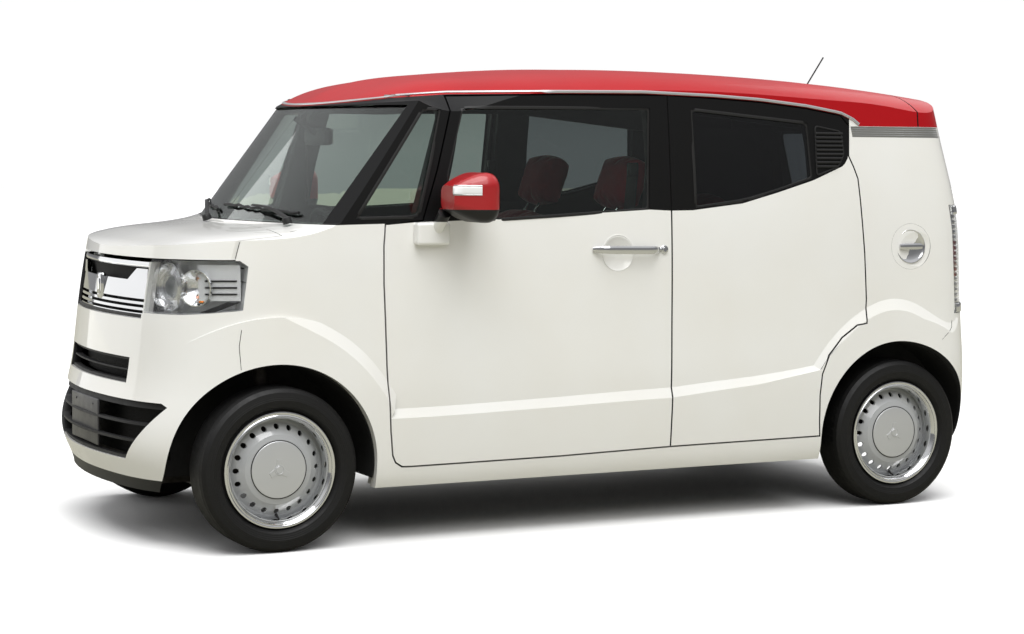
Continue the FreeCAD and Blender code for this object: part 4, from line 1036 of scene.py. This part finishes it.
def ring_spots(node, heart, z, start, end, count):
    """Spots round an upright axis on a node, at one height."""
    outside = 0.5
    spots = []
    for k in range(count):
        angle = math.radians(start + (end - start) * k / count)
        way = Vector((math.cos(angle), math.sin(angle), 0))
        spots.append(land(node, Vector((heart.x, heart.y, z)) + way * outside, -way))
    return spots


def mirror_dress():
    """Glass, lamp strip and seam of each door mirror."""
    inner, outer, low_edge, high_edge = 0.764, 0.911, 1.130, 1.252
    for side, s in SIDES:
        node = (f"mirror_{side}",)
        low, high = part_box(node[0])
        body = f"front_door_{side}"
        bm = bmesh.new()
        outline = ((inner, low_edge), (outer, low_edge), (outer, high_edge), (inner, high_edge))
        corners = [(low.x - 0.0012, s * y, z) for y, z in outline]
        plate(bm, rounded(corners, 0.04, count=6), (0.004, 0, 0))
        piece(f"mirror_glass_{side}", bm, [silvering], body)
        heart = Vector(((low.x + high.x) / 2, s * 0.840, 0))
        bm = bmesh.new()
        for z, wide, index in ((1.217, 0.027, 0), (1.2325, 0.0035, 1), (1.2015, 0.0035, 1)):
            spots = sunk(ring_spots(node, heart, z, 45 * s, 118 * s, 24), 0.0006)
            strip_on(bm, spots, ring_section(wide, 0.0026), index)
        piece(f"mirror_lamp_{side}", bm, [lamp_white, chrome], body)
        spots = sunk(ring_spots(node, heart, MIRROR_SEAM, 0, 360, 72), 0.0012)
        band(f"mirror_seam_{side}", spots, ring_section(0.004, 0.0020), [gasket], body,
             closed=True)


mirror_dress()


# Tail
def tail_dress():
    """Plate board, garnish, pane seal, rear wiper, high stop lamp and the bumper's reflectors."""
    gate, glass = ("tailgate",), ("tailgate_glass",)
    bm = bmesh.new()
    x = on_tail(gate, 0, 0.93)[0].x
    block(bm, (x - 0.007, -PLATE_HALF, 0.842), (x + 0.004, PLATE_HALF, 1.007), 0.003)
    piece("rear_plate_board", bm, [plate_grey], "tailgate")
    spots = [on_tail(gate, y, 1.036) for y in steps(-0.30, 0.30, 31)]
    band("tailgate_garnish", sunk(spots, 0.002), ring_section(0.036, 0.018), [chrome], "tailgate")
    half, low, high = 0.518, 1.112, 1.438
    loop = rounded([(0, y, z) for y, z in ((-half, low), (half, low), (half, high), (-half, high))], 0.03)
    spots = [on_tail(gate + glass, p.y, p.z) for p in dense(loop, 0.03, closed=True)]
    band("seal_tailgate", sunk(spots), ring_section(0.014, 0.004), [gasket], "tailgate",
         closed=True)
    bm = bmesh.new()
    spots = [on_tail(glass, 0.03 + 0.36 * t, 1.165 + 0.03 * t) for t in steps(0, 1, 17)]
    strip_on(bm, sunk(spots, -0.003), ring_section(0.011, 0.012))
    pivot = on_tail(gate, 0.0, 1.092)[0]
    hub = pivot + Vector((-0.018, 0, 0))
    end = spots[9][0] + spots[9][1] * 0.016
    path = [hub.lerp(end, t) for t in steps(0, 1, 9)]
    sweep(bm, path, [Vector((-1, 0, 0.2))] * 9, ring_section(0.013, 0.008), scales=steps(1.4, 0.84, 9))
    cap = [(0.022, 0), (0.021, 0.012), (0.014, 0.021), (0, 0.023)]
    lathe(bm, pivot + Vector((0.002, 0, 0)), (-1, 0, 0.15), cap, 28)
    piece("rear_wiper", bm, [black_plastic], "tailgate")
    spots = sunk([on_tail(("tailgate_spoiler",), y, 1.528) for y in steps(-0.14, 0.14, 15)])
    band("high_stop_lamp", spots, ring_section(0.016, 0.004), [ruby], "tailgate")
    for side, s in SIDES:
        spots = sunk([on_tail(("rear_bumper",), s * y, 0.43) for y in steps(0.52, 0.64, 9)])
        band(f"bumper_reflector_{side}", spots, ring_section(0.028, 0.004), [ruby], "car")


tail_dress()


# Seats
def swelled(name, form, cap, made, body):
    """A cushion: a closed pad blown up by cloth pressure, its movement capped."""
    voxel = 0.006
    first, last = 1, 20
    bm = bmesh.new()
    pad(bm, *form)
    bmesh.ops.recalc_face_normals(bm, faces=bm.faces)
    mesh = bpy.data.meshes.new(name)
    bm.to_mesh(mesh)
    bm.free()
    obj = bpy.data.objects.new(name, mesh)
    scene.collection.objects.link(obj)
    bpy.context.view_layer.objects.active = obj
    remesh = obj.modifiers.new("voxels", "REMESH")
    remesh.mode, remesh.voxel_size = "VOXEL", voxel
    flat = settle(obj)
    rest = [v.co.copy() for v in flat.vertices]
    cloth_mod = obj.modifiers.new("cloth", "CLOTH")
    settings = cloth_mod.settings
    settings.quality, settings.mass = 5, 0.3
    settings.use_pressure, settings.uniform_pressure_force = True, 4
    settings.effector_weights.gravity = 0
    cloth_mod.point_cache.frame_start, cloth_mod.point_cache.frame_end = first, last
    for frame_now in range(first, last + 1):
        scene.frame_set(frame_now)
    flat = settle(obj)
    scene.frame_set(first)
    for v, start in zip(flat.vertices, rest):
        move = v.co - start
        if move.length > cap:
            v.co = start + move.normalized() * cap
    smooth = obj.modifiers.new("evened", "SMOOTH")
    smooth.iterations = 4
    flat = settle(obj)
    for poly in flat.polygons:
        poly.use_smooth = True
    flat.materials.clear()
    flat.materials.append(made)
    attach(obj, body)
    return obj


def settle(obj):
    """Apply all modifiers of an object to its mesh."""
    depsgraph = bpy.context.evaluated_depsgraph_get()
    flat = bpy.data.meshes.new_from_object(obj.evaluated_get(depsgraph))
    obj.modifiers.clear()
    obj.data = flat
    return flat


def pad(bm, low, high, turn=None):
    """A crowned pad: a gridded box whose faces bulge and whose rim is drawn in."""
    low, high = Vector(low), Vector(high)
    mid, half = (low + high) / 2, (high - low) / 2
    made = bmesh.ops.create_cube(bm, size=2)
    edges = list(set(e for v in made["verts"] for e in v.link_edges))
    bmesh.ops.subdivide_edges(bm, edges=edges, cuts=7, use_grid_fill=True)
    # How far the sides draw in towards their ends and their upper edge, and how far the faces crown.
    ends, rim, crown = 0.10, 0.14, 0.20
    for v in bm.verts:
        x, y, z = v.co
        drawn = Vector((x * math.sqrt(max(0, 1 - ends * y ** 2 - ends * z ** 2)),
                        y * math.sqrt(max(0, 1 - ends * x ** 2 - rim * z ** 2)),
                        z * math.sqrt(max(0, 1 - crown * x ** 2 - crown * y ** 2))))
        v.co = mid + Vector([share * reach for share, reach in zip(drawn, half)])
    if turn:
        bmesh.ops.transform(bm, matrix=turn, verts=bm.verts)


def mirrored_copy(obj, name, body):
    """The same cushion on the other side of the car."""
    twin = obj.data.copy()
    twin.transform(Matrix.Scale(-1, 4, (0, 1, 0)))
    twin.flip_normals()
    made = bpy.data.objects.new(name, twin)
    scene.collection.objects.link(made)
    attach(made, body)
    return made


def seats():
    """Both rows: cushion, back and head rest of cloth, with posts, frame and back board."""
    fill, swell = 0.7, 0.022
    hip, lean_angle = 0.480, math.radians(19)
    rest_back, rest_thick, rest_low, rest_high = -0.154, 0.096, 0.022, 0.222
    post_radius, board_in, board_out, board_top, board_thick = 0.0055, 0.10, 0.54, 0.54, 0.006
    for row, x, long, top, node in (("front", -0.060, 0.500, 1.190, "front_seats"),
                                    ("rear", -0.860, 0.450, 1.026, "rear_seat")):
        lean = Matrix.Translation((x + 0.130, 0, hip)) @ Matrix.Rotation(-lean_angle, 4, "Y")
        tall = top - hip
        forms = {
            "cushion": ((x + 0.012, 0.084, 0.492), (x + long - 0.012, 0.556, 0.600), None),
            "back": ((-0.118, 0.088, 0.10), (-0.022, 0.552, tall), lean),
            "rest": ((rest_back, 0.200, tall + rest_low),
                     (rest_back + rest_thick, 0.440, tall + rest_high), lean),
        }
        for part, form in forms.items():
            obj = swelled(f"{row}_{part}_left", form, swell, cloth, "car")
            if part == "cushion":
                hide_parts(node)
            mirrored_copy(obj, f"{row}_{part}_right", "car")
        for side, s in SIDES:
            bm = bmesh.new()
            for y in (0.275, 0.365):
                start = lean @ Vector((-0.075, s * y, tall - 0.06))
                end = lean @ Vector((rest_back + 0.045, s * y, tall + 0.06))
                post = [(post_radius, 0), (post_radius, (end - start).length)]
                lathe(bm, start, end - start, post, 12, 0)
            near, far = sorted((s * 0.12, s * 0.52))
            block(bm, (x + 0.05, near, 0.272), (x + long - 0.08, far, 0.50), 0.02, 1)
            piece(f"{row}_seat_frame_{side}", bm, [chrome, cabin_plastic], "car")
            bm = bmesh.new()
            outline = ((board_in, board_in), (board_out, board_in), (board_out, board_top),
                       (board_in, board_top))
            corners = [lean @ Vector((-0.128, s * a, b)) for a, b in outline]
            plate(bm, rounded(corners, 0.05), (-board_thick, 0, 0))
            piece(f"{row}_seat_back_board_{side}", bm, [cabin_plastic], "car")


seats()


# Cabin details
def belts():
    """Seat belts hanging from the pillars, with their upper guides."""
    wide, thick = 0.046, 0.0014
    section = [(a * wide, b * thick) for a, b in ((-0.5, 0), (0.5, 0), (0.5, 1), (-0.5, 1))]
    for side, s in SIDES:
        for row, x, z, drop in (("front", -0.20, 1.28, 0.72), ("rear", -0.98, 1.22, 0.55)):
            bm = bmesh.new()
            top = Vector((x, s * 0.585, z))
            path = dense([top, top + Vector((0.02, -s * 0.01, -0.30)),
                          top + Vector((0.05, -s * 0.015, -drop))], 0.05)
            sweep(bm, path, [Vector((0, s, 0))] * len(path), section)
            block(bm, top + Vector((-0.02, -0.012, -0.02)), top + Vector((0.02, 0.012, 0.03)), 0.006, 1)
            piece(f"belt_{row}_{side}", bm, [webbing, cabin_plastic], "car")


# Turned outlines on the dashboard: radius, distance out.
KNOB = [(0.017, 0), (0.0165, 0.014), (0.013, 0.017), (0, 0.0175)]
SELECTOR = [(0.008, 0), (0.007, 0.07), (0.016, 0.075), (0.020, 0.095), (0.015, 0.115), (0, 0.12)]
DIAL_FACE = [(0.045, 0.008), (0.043, 0.002), (0, 0.002)]
DIAL_RING = [(0.0455, 0.0), (0.048, 0.006), (0.0485, 0.0)]


def dash_dress():
    """Binnacle, display, control panel with knobs, selector, vents and two dials."""
    bm = bmesh.new()
    block(bm, (0.725, -0.52, 0.955), (0.93, -0.14, 1.055), 0.03, 0)
    block(bm, (0.745, -0.075, 0.86), (0.782, 0.115, 0.995), 0.008, 0)
    block(bm, (0.7425, -0.065, 0.87), (0.7460, 0.105, 0.985), 0.001, 1)
    block(bm, (0.745, -0.06, 0.70), (0.79, 0.10, 0.84), 0.012, 0)
    for y in (-0.025, 0.020, 0.065):
        lathe(bm, (0.748, y, 0.735), (-1, 0, 0), KNOB, 24, 2)
    lathe(bm, (0.735, 0.02, 0.79), (-0.6, 0, 0.8), SELECTOR, 20, 0)
    for y in (-0.46, 0.46):
        block(bm, (0.755, y - 0.055, 0.89), (0.775, y + 0.055, 0.955), 0.01, 0)
    for y in (-0.39, -0.27):
        lathe(bm, (0.722, y, 1.005), (-1, 0, 0.1), DIAL_FACE, 32, 1)
        lathe(bm, (0.722, y, 1.005), (-1, 0, 0.1), DIAL_RING, 32, 2)
    piece("dash_details", bm, [cabin_plastic, screen_black, chrome], "car")


belts()
dash_dress()


# Studio
def studio():
    """White floor and air, soft light from above and ahead, a darker horizon for the plating to mirror."""
    bpy.ops.mesh.primitive_plane_add(size=120, location=(0, 0, -0.0005))
    floor = bpy.context.object
    floor.name = "studio_floor"
    made, tree, shader, place = finish("pale_floor", Roughness=0.8, Specular_IOR_Level=0.1)
    seen = add(tree, "ShaderNodeLightPath").outputs["Is Camera Ray"]
    tint = add(tree, "ShaderNodeMix", {"Factor": seen, "A": linear("#9A988A"), "B": linear("#F2F2F1")},
               data_type="RGBA")
    tree.links.new(tint.outputs["Result"], shader.inputs["Base Color"])
    tree.links.new(speckle(tree, place, 0.8, 0.75, 0.85), shader.inputs["Roughness"])
    floor.data.materials.append(made)
    world = bpy.data.worlds.new("studio_air")
    world.use_nodes = True
    tree = world.node_tree
    ground = tree.nodes["Background"]
    toward = add(tree, "ShaderNodeTexCoord").outputs["Generated"]
    axes = add(tree, "ShaderNodeSeparateXYZ", {"Vector": toward})
    ramp = add(tree, "ShaderNodeValToRGB", {"Fac": axes.outputs["Z"]})
    # Height of the air, its brightness; a trace more blue than red.
    shades = ((0.0, 0.40), (0.04, 0.26), (0.22, 0.36), (0.50, 0.92), (1.0, 1.15))
    for at, value in shades[1:-1]:
        ramp.color_ramp.elements.new(at)
    for element, (at, value) in zip(ramp.color_ramp.elements, shades):
        element.position = at
        element.color = (value, value, value * 1.02, 1)
    seen = add(tree, "ShaderNodeLightPath").outputs["Is Camera Ray"]
    air = add(tree, "ShaderNodeMix", {"Factor": seen, "A": ramp.outputs["Color"], "B": (1.4, 1.4, 1.4, 1.0)},
              data_type="RGBA")
    tree.links.new(air.outputs["Result"], ground.inputs["Color"])
    ground.inputs["Strength"].default_value = 0.72
    scene.world = world
    aim = Vector((0, 0, 0.6))
    for name, place, size, power in (("key", (1.2, 6.0, 6.0), 5.0, 225),
                                     ("back", (-6.5, -3.0, 4.5), 4.0, 60),
                                     ("front", (4.4, -5.0, 2.3), 4.5, 65)):
        lamp = bpy.data.lights.new(name, "AREA")
        lamp.size, lamp.energy = size, power
        made = bpy.data.objects.new(name, lamp)
        made.location = place
        made.rotation_euler = (aim - Vector(place)).to_track_quat("-Z", "Y").to_euler()
        scene.collection.objects.link(made)
    over = bpy.data.lights.new("over", "SUN")
    over.energy, over.angle = 2.7, math.radians(50)
    made = bpy.data.objects.new("over", over)
    made.rotation_euler = Vector((-0.15, -0.2, -1.0)).to_track_quat("-Z", "Y").to_euler()
    scene.collection.objects.link(made)
    scene.view_settings.view_transform = "Standard"


def camera():
    """Seen from ahead and to the left at about eye height, with a long lens."""
    yaw, pitch, roll = math.radians(-116.679), math.radians(-4.0368), math.radians(0.4537)
    place = Vector((3.8195, 7.650, 1.359))
    film, photo_wide, focal_pixels = 36, 1024, 2218.19
    ahead = Vector((math.cos(yaw) * math.cos(pitch), math.sin(yaw) * math.cos(pitch), math.sin(pitch)))
    level = ahead.cross(Vector((0, 0, 1))).normalized()
    upright = level.cross(ahead)
    right = math.cos(roll) * level + math.sin(roll) * upright
    up = math.cos(roll) * upright - math.sin(roll) * level
    lens = bpy.data.cameras.new("camera")
    lens.sensor_width, lens.lens = film, focal_pixels / photo_wide * film
    lens.shift_x, lens.shift_y = -0.00443, -0.01178
    lens.clip_start, lens.clip_end = 0.1, 200
    made = bpy.data.objects.new("camera", lens)
    made.matrix_world = Matrix.Translation(place) @ Matrix((right, up, -ahead)).transposed().to_4x4()
    scene.collection.objects.link(made)
    scene.camera = made


studio()
camera()
